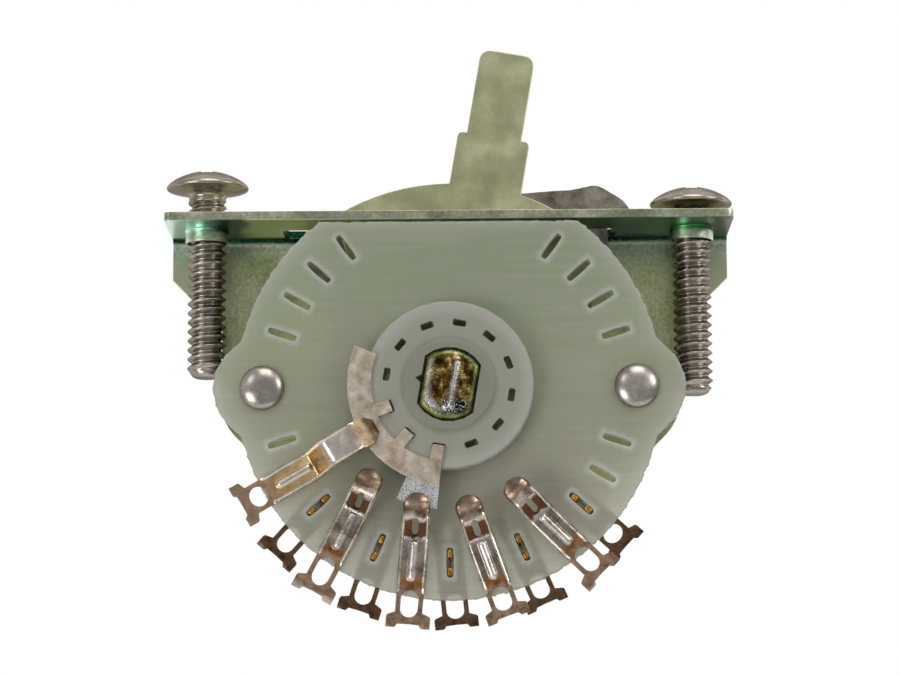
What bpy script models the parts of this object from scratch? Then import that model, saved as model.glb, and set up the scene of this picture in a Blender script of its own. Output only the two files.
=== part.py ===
"""A lever selector switch for guitar pickups, in metres, +Z up.

The origin is the middle of the bracket's top face, between the two mounting screws. +X runs along the
bracket and +Y runs back from the wafer to the bracket's vertical plate. The shaft lies along Y.
"""

import math

import bmesh
import bpy
from mathutils import Matrix

MM = 0.001

# Points nearer than this to each other are one point: as made, and after cutting and joining.
MERGE = 1e-7
FINEST = 2e-5

# Clearances between pieces that sit on or in each other.
SEAT_GAP = 0.05 * MM
BORE_GAP = 0.06 * MM

# The bracket, one folded steel sheet.
SHEET = 0.75 * MM
BRACKET_END = 3.3125 * MM
BRACKET_DEPTH = 10.0 * MM
BRACKET_CORNER = 0.6 * MM
BEND_INSIDE = 0.6 * MM
SHOULDER_DROP = 4.25 * MM
BRACKET_TAIL = 11.2 * MM
LEVER_SLOT_LENGTH = 28.4 * MM
LEVER_SLOT_FRONT = -0.1 * MM
LEVER_SLOT_BACK = 3.75 * MM
LEVER_SLOT_CORNER = 0.4 * MM

# The mounting screws, number 6 by 32 threads to the inch, and the drawn collars that they run in.
SCREW_SPACING = 41.275 * MM
BRACKET_LENGTH = SCREW_SPACING + 2 * BRACKET_END
SCREW_RADIUS = 1.75 * MM
SCREW_LENGTH = 15.9 * MM
SCREW_HEAD_RADIUS = 3.5 * MM
SCREW_HEAD_HEIGHT = 1.95 * MM
SCREW_HEAD_RIM = 0.7 * MM
SCREW_HEAD_SLOPE = 0.5 * MM
SCREW_POINT = 0.7 * MM
THREAD_PITCH = 25.4 / 32 * MM
THREAD_DEPTH = 0.42 * MM
THREAD_START = 0.45 * MM
LEFT_SCREW_RISE = 2.45 * MM
RIGHT_SCREW_RISE = 0.8 * MM
RECESS_WIDTH = 0.75 * MM
RECESS_SPAN = 3.6 * MM
RECESS_DEPTH = 1.2 * MM
COLLAR_WALL = 0.55 * MM
COLLAR_DROP = 1.1 * MM
COLLAR_FILLET = 0.25 * MM
THREAD_GAP = 0.06 * MM

# The rotor. The blades, lugs and wafer are laid out from its edge outwards.
ROTOR_RADIUS = 7.05 * MM
FLANGE_LAP = 0.65 * MM
ROTOR_HUB_RADIUS = ROTOR_RADIUS - FLANGE_LAP
ROTOR_PROUD = 1.4 * MM
ROTOR_BOSS_RADIUS = 3.9 * MM
ROTOR_BOSS_RISE = 0.2 * MM
ROTOR_SLOT_INSET = 1.8 * MM
ROTOR_SLOT_CIRCLE = ROTOR_RADIUS - ROTOR_SLOT_INSET
ROTOR_SLOT_LENGTH = 1.1 * MM
ROTOR_SLOT_WIDTH = 0.55 * MM
ROTOR_SLOTS = 12
KEY_NOTCH = 0.5 * MM

# The contact blades, in degrees from straight down on the rotor, positive to the right.
BLADE_SHEET = 0.3 * MM
BAND_LAP = 0.55 * MM
BAND_WIDTH = 1.95 * MM
TAB_REACH = 2.0 * MM
BAND_INNER = ROTOR_RADIUS - BAND_LAP
BAND_OUTER = BAND_INNER + BAND_WIDTH
TAB_OUTER = BAND_OUTER + TAB_REACH
FINGER_WIDTH = 1.0 * MM
FINGER_DEPTH = 1.5 * MM
FRONT_BAND = (-102.9, 4.1)
FRONT_TAB = (-14.9, 4.1)
FRONT_FINGERS = (-60.0, -30.0, 0.0)
BACK_BAND = (-26.9, 95.0)
BACK_TAB = (-26.9, -7.9)
BACK_FINGERS = (0.0, 30.0, 60.0)

# The wafer, glass-epoxy sheet, and its pattern of radial slots.
TIP_OVERLAP = 1.1 * MM
THROW_TIP = TAB_OUTER - TIP_OVERLAP
COMMON_OVERLAP = 1.45 * MM
COMMON_TIP = BAND_OUTER - COMMON_OVERLAP
LUG_REACH = 5.3 * MM
SLOT_CIRCLE = THROW_TIP + LUG_REACH
SLOT_LENGTH = 2.45 * MM
SLOT_WIDTH = 0.68 * MM
SLOT_CORNER = 0.15 * MM
SLOT_PITCH = 12.0
FRONT_THROWS = (-3, -1, 1, 3)
FRONT_COMMON = -5
BACK_THROWS = (-4, -2, 0, 2)
BACK_COMMON = 4
BARE_SLOTS = (-6, 5, 6, 9, 10, 11, 12, -9, -10, -11, -12)
WAFER_SHEET = 1.3 * MM
SLOT_INSET = 3.08 * MM
WAFER_RADIUS = SLOT_CIRCLE + SLOT_INSET
WAFER_TOP_GAP = 0.2 * MM
WAFER_TOP_MARGIN = 1.207 * MM
EAR_INSET = 2.13 * MM
EAR_SPREAD = WAFER_RADIUS - EAR_INSET
EAR_RADIUS = 4.08 * MM

# The wafer's flat top clears its highest slots, and stands just under the bracket's top plate.
HIGHEST_SLOT = math.radians(180 - SLOT_PITCH * max(BARE_SLOTS))
WAFER_TOP = (SLOT_CIRCLE + SLOT_LENGTH / 2) * math.cos(HIGHEST_SLOT) + WAFER_TOP_MARGIN
SHAFT_DROP = WAFER_TOP + WAFER_TOP_GAP + SHEET

# The rivets through the wafer's ears and the sleeves between wafer and bracket.
RIVET_RADIUS = 1.15 * MM
RIVET_HEAD_RADIUS = 1.85 * MM
RIVET_HEAD_HEIGHT = 0.85 * MM
SLEEVE_RADIUS = 2.1 * MM

# The lever plate and its shaft.
LEVER_TILT = 9.8
LEVER_SHEET = 1.5 * MM
LEVER_MIDDLE = 1.2 * MM
SECTOR_RISE = 3.4 * MM
SECTOR_RADIUS = SHAFT_DROP + SECTOR_RISE
SECTOR_HALF_ANGLE = 42.0
SECTOR_FILLET = 0.5 * MM
LEVER_HUB_RADIUS = 6.0 * MM
SHANK_WIDTH = 6.2 * MM
SHANK_RISE = 7.8 * MM
SHANK_TOP = SHAFT_DROP + SHANK_RISE
TIP_WIDTH = 4.7 * MM
TIP_LENGTH = 7.45 * MM
TIP_TOP = SHANK_TOP + TIP_LENGTH
TIP_CORNER = 0.9 * MM
SHOULDER_CORNER = 0.45 * MM
LEVER_EDGE = 0.12 * MM
SHAFT_RADIUS = 3.05 * MM
SHAFT_FLATS = 4.6 * MM
SHAFT_PROUD = 0.55 * MM
SHAFT_DOME = 0.55 * MM
SHAFT_BACK = 1.7 * MM
RING_SHEET = 0.6 * MM
RING_GROOVE = 0.5 * MM
RING_WIDTH = 1.25 * MM
RING_MOUTH = 70.0

# The solder lugs, pressed from one strip. Ends and centres are distances from the shaft.
LUG_SHEET = 0.35 * MM
LUG_WIDTH = 2.25 * MM
COMMON_WIDTH = 2.4 * MM
FOOT_WIDTH = 3.65 * MM
FOOT_REACH = 2.77 * MM
FOOT_END = WAFER_RADIUS + FOOT_REACH
FOOT_LENGTH = 1.3 * MM
FOOT_FLARE = 0.35 * MM
FOOT_RECESS = 0.3 * MM
TOE_WIDTH = 0.75 * MM
TOE_SLOPE = 0.2 * MM
EYELET_INSET = 2.05 * MM
EYELET_CENTRE = FOOT_END - EYELET_INSET
EYELET_WIDTH = 1.45 * MM
EYELET_LENGTH = 2.3 * MM
COMMON_EYELET = 0.85 * MM
RIB_INSIDE = 1.5 * MM
RIB_OUTSIDE = 1.9 * MM
RIB_RUN_IN = 0.35 * MM
LANDING = 0.2 * MM
CREST_FALL = 1.5 * MM
RIB_WIDTH = 0.6 * MM
RIB_HEIGHT = 0.22 * MM
SPOON_LENGTH = 1.9 * MM
WINDOW_WIDTH = 0.55 * MM
WINDOW_CORNER = 0.2 * MM
WINDOW_MARGIN = 0.15 * MM
PRONG_LENGTH = 0.6 * MM
PRONG_WIDTH = 0.4 * MM
PRONG_SPREAD = 1.5 * MM

# The index spring: a stiff leaf behind the lever with one pressed groove for each position.
INDEX_STEP = 22.0
STEPS_ABOVE_REST = 1
STEPS_BELOW_REST = 2
SPRING_SHEET = 0.45 * MM
SPRING_FACE = 2.83 * MM
SPRING_BASE_RADIUS = 9.2 * MM
SPRING_FOOT_TOP = 6.0 * MM
SPRING_FACE_FOOT = 8.2 * MM
SPRING_CLEARANCE = 0.5 * MM
SPRING_SLOT_CLEARANCE = 0.6 * MM
SPRING_REACH = 15.7 * MM
SPRING_LIFT = 0.3 * MM
SPRING_NECK = 2.6 * MM
GROOVE_DEPTH = 0.3 * MM
GROOVE_HALF_WIDTH = 1.3 * MM
GROOVE_START = 11.5 * MM
GROOVE_RUN_IN = 1.5 * MM
INDEX_RIVET_SPREAD = 6.4 * MM
INDEX_RIVET_DROP = 1.6 * MM
INDEX_RIVET_RADIUS = 0.8 * MM
INDEX_RIVET_HEAD_RADIUS = 1.5 * MM
INDEX_RIVET_HEAD_HEIGHT = 0.55 * MM
BALL_CIRCLE = 12.5 * MM
BALL_RADIUS = 1.19 * MM

# The spring's free edge from right to left: distance along the bracket, and rise over its top face.
SPRING_EDGE = (
    (15.7 * MM, 1.2 * MM),
    (15.0 * MM, 2.25 * MM),
    (13.85 * MM, 3.0 * MM),
    (13.1 * MM, 3.45 * MM),
    (12.3 * MM, 3.6 * MM),
    (10.3 * MM, 3.25 * MM),
    (6.4 * MM, 2.95 * MM),
    (0.0 * MM, 2.2 * MM),
    (-9.0 * MM, 1.3 * MM),
    (-11.4 * MM, 1.1 * MM),
    (-12.3 * MM, -1.0 * MM),
)

# Planes that several pieces meet at.
FRONT = -BRACKET_DEPTH / 2
BACK = BRACKET_DEPTH / 2
PLATE_FRONT = BACK - SHEET
WAFER_FRONT = FRONT
WAFER_BACK = WAFER_FRONT + WAFER_SHEET
LEVER_BACK = LEVER_MIDDLE + LEVER_SHEET / 2
ROTOR_FRONT = WAFER_FRONT - ROTOR_PROUD
CONTACT_HEIGHT = ROTOR_PROUD + SEAT_GAP + BLADE_SHEET + SEAT_GAP


# Points and outlines.


def arc(radius, start, end, steps, centre=(0.0, 0.0)):
    """Points on a circle from start to end, in degrees from +X, with both ends."""
    angles = [math.radians(start + (end - start) * i / steps) for i in range(steps + 1)]
    return [(centre[0] + radius * math.cos(a), centre[1] + radius * math.sin(a)) for a in angles]


def circle(radius, steps, centre=(0.0, 0.0)):
    return arc(radius, 0, 360, steps, centre)[:-1]


def box(length, width, corner, centre=(0.0, 0.0)):
    """A rectangle with its corners cut off at 45 degrees."""
    x, y = length / 2, width / 2
    half = [(x, y - corner), (x - corner, y), (corner - x, y), (-x, y - corner)]
    points = half + [(-px, -py) for px, py in half]
    return [(centre[0] + px, centre[1] + py) for px, py in points]


def turned_by(points, degrees):
    """The points, turned anticlockwise about the origin."""
    c, s = math.cos(math.radians(degrees)), math.sin(math.radians(degrees))
    return [(x * c - y * s, x * s + y * c) for x, y in points]


def from_down(degrees):
    """An angle from straight down, positive to the right, as an angle from +X."""
    return degrees - 90.0


def rounded_corner(before, corner, after, radius, steps=2):
    """Points that round off one corner of an outline, between its two neighbours."""
    a = [corner[k] + (before[k] - corner[k]) * radius / math.dist(before, corner) for k in (0, 1)]
    b = [corner[k] + (after[k] - corner[k]) * radius / math.dist(after, corner) for k in (0, 1)]
    points = []
    for j in range(steps + 1):
        t = j / steps
        weights = ((1 - t) ** 2, 2 * t * (1 - t), t**2)
        points.append(tuple(weights[0] * a[k] + weights[1] * corner[k] + weights[2] * b[k] for k in (0, 1)))
    return points


def curve_through(points, steps):
    """Points along a smooth curve through the given ones: a Catmull-Rom curve, with both ends."""
    run = [points[0], *points, points[-1]]
    curve = []
    for p0, p1, p2, p3 in zip(run, run[1:], run[2:], run[3:]):
        for j in range(steps):
            t = j / steps
            curve.append(tuple(
                p1[k]
                + 0.5 * t * (p2[k] - p0[k])
                + t**2 * (p0[k] - 2.5 * p1[k] + 2 * p2[k] - 0.5 * p3[k])
                + t**3 * (1.5 * (p1[k] - p2[k]) + 0.5 * (p3[k] - p0[k]))
                for k in (0, 1)
            ))
    return [*curve, points[-1]]


def mirrored(points):
    """Points with positive y, followed by their mirror images in reverse, as one closed outline."""
    return points + [(x, -y) for x, y in reversed(points) if y > 1e-9]


# Solids.


def finish(name, colour, roughness, metallic):
    """A Principled material in one plain colour."""
    made = bpy.data.materials.new(name)
    made.use_nodes = True
    shader = made.node_tree.nodes["Principled BSDF"]
    shader.inputs["Base Color"].default_value = (*colour, 1.0)
    shader.inputs["Roughness"].default_value = roughness
    shader.inputs["Metallic"].default_value = metallic
    return made


def blank(outline, holes=()):
    """A flat sheet in XY, cut to an outline with holes."""
    sheet = bmesh.new()
    edges = []
    for loop in (outline, *holes):
        corners = [sheet.verts.new((x, y, 0.0)) for x, y in loop]
        edges += [sheet.edges.new(pair) for pair in zip(corners, corners[1:] + corners[:1])]
    bmesh.ops.triangle_fill(sheet, use_beauty=True, edges=edges, normal=(0.0, 0.0, 1.0))
    bmesh.ops.recalc_face_normals(sheet, faces=sheet.faces)
    if sum(face.normal.z * face.calc_area() for face in sheet.faces) < 0:
        bmesh.ops.reverse_faces(sheet, faces=sheet.faces)
    return sheet


def score(sheet, point, normal, inside=None):
    """A seam across the sheet, where it will bend."""
    faces = [face for face in sheet.faces if inside is None or inside(face.calc_center_median())]
    edges = {edge for face in faces for edge in face.edges}
    verts = {vert for face in faces for vert in face.verts}
    cut = bmesh.ops.bisect_plane(
        sheet,
        geom=[*verts, *edges, *faces],
        dist=MERGE,
        plane_co=(*point, 0.0),
        plane_no=(*normal, 0.0),
    )
    for part in cut["geom_cut"]:
        if isinstance(part, bmesh.types.BMEdge):
            part.seam = True


def joined_between_seams(sheet):
    """The sheet with no edges left but its outlines, its seams and those that its holes need."""
    flat = math.radians(0.5)
    bmesh.ops.dissolve_limit(
        sheet, angle_limit=flat, verts=sheet.verts, edges=sheet.edges, delimit={"SEAM"}
    )


def press(sheet, form):
    """Moves each point of a flat sheet to where form(x, y) says."""
    for vert in sheet.verts:
        vert.co = form(vert.co.x, vert.co.y)


def turned(profile, steps, closed=False):
    """A solid of revolution about Z, from (radius, height) points."""
    solid = bmesh.new()
    verts = [solid.verts.new((r, 0.0, z)) for r, z in profile]
    pairs = list(zip(verts, verts[1:])) + ([(verts[-1], verts[0])] if closed else [])
    edges = [solid.edges.new(pair) for pair in pairs]
    bmesh.ops.spin(
        solid,
        geom=verts + edges,
        cent=(0.0, 0.0, 0.0),
        axis=(0.0, 0.0, 1.0),
        angle=2 * math.pi,
        steps=steps,
    )
    bmesh.ops.remove_doubles(solid, verts=solid.verts, dist=MERGE)
    bmesh.ops.recalc_face_normals(solid, faces=solid.faces)
    return solid


def block(low, high):
    """A box between two corners."""
    solid = bmesh.new()
    bmesh.ops.create_cube(solid, size=1.0)
    for vert in solid.verts:
        vert.co = [low[k] if vert.co[k] < 0 else high[k] for k in range(3)]
    return solid


def thick(sheet, thickness):
    """A flat sheet made a solid of this thickness, centred on XY."""
    bmesh.ops.translate(sheet, vec=(0.0, 0.0, -thickness / 2), verts=sheet.verts)
    bmesh.ops.reverse_faces(sheet, faces=sheet.faces)
    grown = bmesh.ops.extrude_face_region(sheet, geom=sheet.faces[:])["geom"]
    top = [item for item in grown if isinstance(item, bmesh.types.BMVert)]
    bmesh.ops.translate(sheet, vec=(0.0, 0.0, thickness), verts=top)
    bmesh.ops.recalc_face_normals(sheet, faces=sheet.faces)
    return sheet


def joined(*solids):
    """Several closed solids in one mesh, for a tool that cuts or adds them all at once."""
    whole = bmesh.new()
    for solid in solids:
        piece = bpy.data.meshes.new("piece")
        solid.to_mesh(piece)
        solid.free()
        whole.from_mesh(piece)
        bpy.data.meshes.remove(piece)
    return whole


def mesh_of(name, shape, smooth=40.0):
    mesh = bpy.data.meshes.new(name)
    shape.to_mesh(mesh)
    shape.free()
    mesh.shade_smooth()
    mesh.set_sharp_from_angle(angle=math.radians(smooth))
    return mesh


def stand(name, parent=None, location=(0.0, 0.0, 0.0), rotation=(0.0, 0.0, 0.0)):
    """An empty that pieces are placed from. Rotations are in degrees."""
    empty = bpy.data.objects.new(name, None)
    bpy.context.scene.collection.objects.link(empty)
    empty.parent = parent
    empty.location = location
    empty.rotation_euler = [math.radians(a) for a in rotation]
    return empty


def add(name, mesh, material, parent, location=(0.0, 0.0, 0.0), rotation=(0.0, 0.0, 0.0)):
    """A named piece of the switch."""
    piece = bpy.data.objects.new(name, mesh)
    bpy.context.scene.collection.objects.link(piece)
    if not mesh.materials:
        mesh.materials.append(material)
    piece.parent = parent
    piece.location = location
    piece.rotation_euler = [math.radians(a) for a in rotation]
    return piece


def tool(name, shape, parent, location=(0.0, 0.0, 0.0), rotation=(0.0, 0.0, 0.0)):
    """A cutter or a die, which is no piece of the switch."""
    helper = add(name, mesh_of(name, shape), TOOL, parent, location, rotation)
    helper.hide_render = True
    helper.display_type = "WIRE"
    return helper


def solidify(piece, thickness):
    modifier = piece.modifiers.new("thickness", "SOLIDIFY")
    modifier.thickness = thickness
    modifier.offset = 0.0
    modifier.use_even_offset = True


def boolean(piece, helper, operation, solver="EXACT"):
    modifier = piece.modifiers.new(helper.name, "BOOLEAN")
    modifier.operation = operation
    modifier.object = helper
    modifier.solver = solver


def applied(piece, name):
    """The piece's mesh with its modifiers applied, for copies to share, with its flats cut afresh."""
    bpy.context.view_layer.update()
    graph = bpy.context.evaluated_depsgraph_get()
    mesh = bpy.data.meshes.new_from_object(piece.evaluated_get(graph))
    mesh.name = name
    fresh = bmesh.new()
    fresh.from_mesh(mesh)
    bmesh.ops.remove_doubles(fresh, verts=fresh.verts, dist=FINEST)
    flat = math.radians(0.5)
    bmesh.ops.dissolve_limit(fresh, angle_limit=flat, verts=fresh.verts, edges=fresh.edges)
    bmesh.ops.triangulate(fresh, faces=fresh.faces, ngon_method="BEAUTY")
    fresh.to_mesh(mesh)
    fresh.free()
    return mesh


for leftover in list(bpy.data.objects):
    bpy.data.objects.remove(leftover)

TOOL = finish("tool", (0.5, 0.5, 0.5), 0.5, 0.0)
CHROMATED = finish("yellow_chromated_steel", (0.42, 0.43, 0.26), 0.36, 0.85)
LEVER_STEEL = finish("lever_chromated_steel", (0.40, 0.40, 0.24), 0.42, 0.75)
SHAFT_STEEL = finish("shaft_chromated_steel", (0.50, 0.43, 0.20), 0.33, 0.9)
NICKEL = finish("nickel_plated_steel", (0.48, 0.44, 0.40), 0.25, 1.0)
GLASS_EPOXY = finish("glass_epoxy_sheet", (0.30, 0.34, 0.25), 0.55, 0.0)
ROTOR_PLASTIC = finish("rotor_plastic", (0.42, 0.44, 0.40), 0.45, 0.0)
TINNED_BRASS = finish("tinned_brass", (0.45, 0.36, 0.29), 0.35, 0.9)
SILVERED_BRASS = finish("silvered_brass", (0.55, 0.49, 0.45), 0.3, 0.95)
SPRING_STEEL = finish("spring_steel", (0.24, 0.22, 0.19), 0.6, 0.6)
BRIGHT_STEEL = finish("bright_steel", (0.55, 0.55, 0.56), 0.2, 1.0)

body = stand("switch")
# On the wafer's faces a piece's own Z is its height off the face and its own Y is up.
shaft_line = stand("shaft_line", body, (0.0, 0.0, -SHAFT_DROP), (90.0, 0.0, 0.0))
wafer_face = stand("wafer_face", body, (0.0, WAFER_FRONT, -SHAFT_DROP), (90.0, 0.0, 0.0))
wafer_rear = stand("wafer_rear", body, (0.0, WAFER_BACK, -SHAFT_DROP), (90.0, 0.0, 180.0))
lever_pivot = stand("lever_pivot", body, (0.0, 0.0, -SHAFT_DROP), (0.0, LEVER_TILT, 0.0))
lever_face = stand("lever_face", lever_pivot, (0.0, 0.0, 0.0), (90.0, 0.0, 0.0))


# The bracket: a flat blank folded along one line, with a collar drawn round each screw.


BEND_MIDDLE = BEND_INSIDE + SHEET / 2
BEND_START = BRACKET_DEPTH - SHEET / 2 - BEND_MIDDLE
BEND_LENGTH = BEND_MIDDLE * math.pi / 2
BEND_STEPS = 4


def along_blank(z):
    """How far down the flat blank the height z of the vertical plate lies."""
    return BEND_START + BEND_LENGTH + (-SHEET / 2 - BEND_MIDDLE - z)


def folded(x, v):
    """Where a point of the flat blank goes when the sheet is folded."""
    if v <= BEND_START:
        return x, FRONT + v, -SHEET / 2
    turn = min((v - BEND_START) / BEND_MIDDLE, math.pi / 2)
    straight = max(v - BEND_START - BEND_LENGTH, 0.0)
    y = FRONT + BEND_START + BEND_MIDDLE * math.sin(turn)
    return x, y, -SHEET / 2 - BEND_MIDDLE * (1 - math.cos(turn)) - straight


def bracket_blank():
    half = BRACKET_LENGTH / 2
    ear_side = EAR_SPREAD + EAR_RADIUS
    axis = along_blank(-SHAFT_DROP)
    shoulder = along_blank(-SHOULDER_DROP)
    tail = axis + BRACKET_TAIL
    ear = arc(EAR_RADIUS, 0, 45, 4, (EAR_SPREAD, axis))
    corner = arc(BRACKET_CORNER, -90, 0, 4, (half - BRACKET_CORNER, BRACKET_CORNER))
    right = [*corner, (half, shoulder), (ear_side, shoulder + half - ear_side), *ear]
    right.append((ear[-1][0] - (tail - ear[-1][1]), tail))
    outline = right + [(-x, v) for x, v in reversed(right)]
    slot_middle = (LEVER_SLOT_FRONT + LEVER_SLOT_BACK) / 2 - FRONT
    slot_depth = LEVER_SLOT_BACK - LEVER_SLOT_FRONT
    slot = box(LEVER_SLOT_LENGTH, slot_depth, LEVER_SLOT_CORNER, (0.0, slot_middle))
    bearing = circle(SHAFT_RADIUS + BORE_GAP, 20, (0.0, axis))
    rivets = [circle(RIVET_RADIUS + BORE_GAP, 12, (side * EAR_SPREAD, axis)) for side in (-1, 1)]
    small_axis = axis + INDEX_RIVET_DROP
    small = [
        circle(INDEX_RIVET_RADIUS + BORE_GAP, 10, (side * INDEX_RIVET_SPREAD, small_axis))
        for side in (-1, 1)
    ]
    sheet = blank(outline, [slot, bearing, *rivets, *small])
    for i in range(BEND_STEPS + 1):
        score(sheet, (0.0, BEND_START + BEND_LENGTH * i / BEND_STEPS), (0.0, 1.0))
    for side in (-1, 1):
        score(sheet, (side * (SCREW_SPACING / 2 - SCREW_HEAD_RADIUS - 0.2 * MM), 0.0), (1.0, 0.0))
    press(sheet, folded)
    return sheet


def collar():
    """A drawn collar as a solid stub, with a fillet that runs into the sheet. The drill opens it."""
    outer = SCREW_RADIUS + THREAD_GAP + COLLAR_WALL
    edge = 0.1 * MM
    root = -SHEET + COLLAR_FILLET / 8
    foot = -SHEET - COLLAR_DROP
    fillet = arc(COLLAR_FILLET, 180, 90, 2, (outer + COLLAR_FILLET, root - COLLAR_FILLET))
    inside = [(outer + COLLAR_FILLET, -SHEET / 2), (0.0, -SHEET / 2)]
    return turned([(0.0, foot), (outer - edge, foot), (outer, foot + edge), *fillet, *inside], 16)


def drill():
    """A cutter for one screw's hole, through the sheet and its collar."""
    radius = SCREW_RADIUS + THREAD_GAP
    low = -SHEET - COLLAR_DROP - MM
    return turned([(0.0, low), (radius, low), (radius, MM), (0.0, MM)], 16)


def at_screws(shape):
    """The same shape at each screw, as one tool."""
    pair = []
    for side in (-1, 1):
        copy = shape()
        bmesh.ops.translate(copy, vec=(side * SCREW_SPACING / 2, 0.0, 0.0), verts=copy.verts)
        pair.append(copy)
    return joined(*pair)


bracket = add("mounting_bracket", mesh_of("mounting_bracket", bracket_blank()), CHROMATED, body)
solidify(bracket, SHEET)
boolean(bracket, tool("screw_collars", at_screws(collar), body), "UNION")
boolean(bracket, tool("screw_drills", at_screws(drill), body), "DIFFERENCE")


# The mounting screws, driven from above, with their heads clear of the bracket.


def screw():
    """A domed cross-recess screw, its head seated at height zero, its thread drawn as rings."""
    dome = []
    rise = SCREW_HEAD_HEIGHT - SCREW_HEAD_RIM
    for i in range(7):
        a = math.radians(90 - 15 * i)
        dome.append((SCREW_HEAD_RADIUS * math.cos(a), SCREW_HEAD_RIM + rise * math.sin(a)))
    turns = int((SCREW_LENGTH - SCREW_POINT - THREAD_START) / THREAD_PITCH)
    thread = []
    for number in range(turns):
        crest = -THREAD_START - number * THREAD_PITCH
        thread += [(SCREW_RADIUS, crest), (SCREW_RADIUS - THREAD_DEPTH, crest - THREAD_PITCH / 2)]
    shank = [
        (SCREW_HEAD_RADIUS - 0.15 * MM, SCREW_HEAD_SLOPE),
        (SCREW_RADIUS, 0.0),
        *thread,
        (SCREW_RADIUS, -THREAD_START - turns * THREAD_PITCH),
        (SCREW_RADIUS - 0.6 * SCREW_POINT, -SCREW_LENGTH),
        (0.0, -SCREW_LENGTH),
    ]
    return turned(dome + shank, 12)


def cross_recess():
    """Two tapered bars, crossed."""
    bars = []
    top, foot = SCREW_HEAD_HEIGHT + 0.2 * MM, SCREW_HEAD_HEIGHT - RECESS_DEPTH
    for quarter in (0, 1):
        half_span, half_width = RECESS_SPAN / 2, RECESS_WIDTH / 2
        bar = block((-half_span, -half_width, foot), (half_span, half_width, top))
        for vert in bar.verts:
            if vert.co.z < (top + foot) / 2:
                vert.co.x *= 0.4
            if quarter:
                vert.co.x, vert.co.y = -vert.co.y, vert.co.x
        bars.append(bar)
    return bars


screw_blank = add("screw_blank", mesh_of("screw_blank", screw()), NICKEL, body)
for number, bar in enumerate(cross_recess()):
    boolean(screw_blank, tool(f"recess_{number}", bar, body), "DIFFERENCE")
screw_mesh = applied(screw_blank, "mounting_screw")
bpy.data.objects.remove(screw_blank)
for side, hand, rise in ((-1, "left", LEFT_SCREW_RISE), (1, "right", RIGHT_SCREW_RISE)):
    add(f"screw_{hand}", screw_mesh, NICKEL, body, (side * SCREW_SPACING / 2, 0.0, rise))


# The wafer: a disc with a flat top, an ear at each side, the rotor's hole and the radial slots.


def slot_angle(step):
    return step * SLOT_PITCH


def wafer_blank():
    join_x = (WAFER_RADIUS**2 - EAR_RADIUS**2 + EAR_SPREAD**2) / (2 * EAR_SPREAD)
    join_y = math.sqrt(WAFER_RADIUS**2 - join_x**2)
    on_disc = math.degrees(math.atan2(join_y, join_x))
    on_ear = math.degrees(math.atan2(join_y, join_x - EAR_SPREAD))
    flat = math.degrees(math.asin(WAFER_TOP / WAFER_RADIUS))
    outline = arc(EAR_RADIUS, -on_ear, on_ear, 14, (EAR_SPREAD, 0.0))[1:-1]
    outline += arc(WAFER_RADIUS, on_disc, flat, 8)
    outline += arc(WAFER_RADIUS, 180 - flat, 180 - on_disc, 8)
    outline += arc(EAR_RADIUS, 180 - on_ear, 180 + on_ear, 14, (-EAR_SPREAD, 0.0))[1:-1]
    outline += arc(WAFER_RADIUS, 180 + on_disc, 360 - on_disc, 28)
    holes = [circle(ROTOR_HUB_RADIUS + BORE_GAP, 30)]
    holes += [circle(RIVET_RADIUS + BORE_GAP, 12, (side * EAR_SPREAD, 0.0)) for side in (-1, 1)]
    used = (*FRONT_THROWS, FRONT_COMMON, *BACK_THROWS, BACK_COMMON)
    for step in (*used, *BARE_SLOTS):
        slot = box(SLOT_LENGTH, SLOT_WIDTH, SLOT_CORNER, (SLOT_CIRCLE, 0.0))
        holes.append(turned_by(slot, from_down(slot_angle(step))))
    return thick(blank(outline, holes), WAFER_SHEET)


wafer_middle = (0.0, 0.0, -WAFER_SHEET / 2)
add("stator_wafer", mesh_of("stator_wafer", wafer_blank()), GLASS_EPOXY, wafer_face, wafer_middle)


# The two rivets through the ears, and the sleeves that hold the wafer off the bracket.


def rivet(radius, head_radius, head_height, grip, steps):
    """A domed rivet along Z: its head sits on height zero and its tail is closed below the grip."""
    dome = []
    for a in (90, 60, 30, 0):
        dome.append((head_radius * math.cos(math.radians(a)), head_height * math.sin(math.radians(a))))
    tail = head_radius * 0.82
    closed = [
        (radius, 0.0),
        (radius, -grip),
        (tail, -grip),
        (tail * 0.85, -grip - head_height * 0.55),
        (tail * 0.4, -grip - head_height * 0.8),
        (0.0, -grip - head_height * 0.8),
    ]
    return turned(dome + closed, steps)


def sleeve(radius, bore, length):
    return turned([(bore, 0.0), (radius, 0.0), (radius, -length), (bore, -length)], 16, closed=True)


rivet_grip = BACK - WAFER_FRONT + 2 * SEAT_GAP
sleeve_length = PLATE_FRONT - WAFER_BACK - 2 * SEAT_GAP
ear_rivet = rivet(RIVET_RADIUS, RIVET_HEAD_RADIUS, RIVET_HEAD_HEIGHT, rivet_grip, 16)
rivet_mesh = mesh_of("ear_rivet", ear_rivet)
sleeve_mesh = mesh_of("sleeve", sleeve(SLEEVE_RADIUS, RIVET_RADIUS + BORE_GAP, sleeve_length))
for side, hand in ((-1, "left"), (1, "right")):
    across = side * EAR_SPREAD
    add(f"rivet_{hand}", rivet_mesh, NICKEL, wafer_face, (across, 0.0, SEAT_GAP))
    sleeve_top = -WAFER_SHEET - SEAT_GAP
    add(f"spacer_{hand}", sleeve_mesh, BRIGHT_STEEL, wafer_face, (across, 0.0, sleeve_top))


# The lever plate: a sector on the shaft, a shank through the bracket's slot and a narrower tip.


def shaft_bore(gap):
    """The outline of the hole that the shaft's flats drive, grown by a clearance."""
    radius, flat = SHAFT_RADIUS + gap, SHAFT_FLATS / 2 + gap
    end = math.degrees(math.acos(flat / radius))
    return arc(radius, end, 180 - end, 6) + arc(radius, 180 + end, 360 - end, 6)


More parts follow.
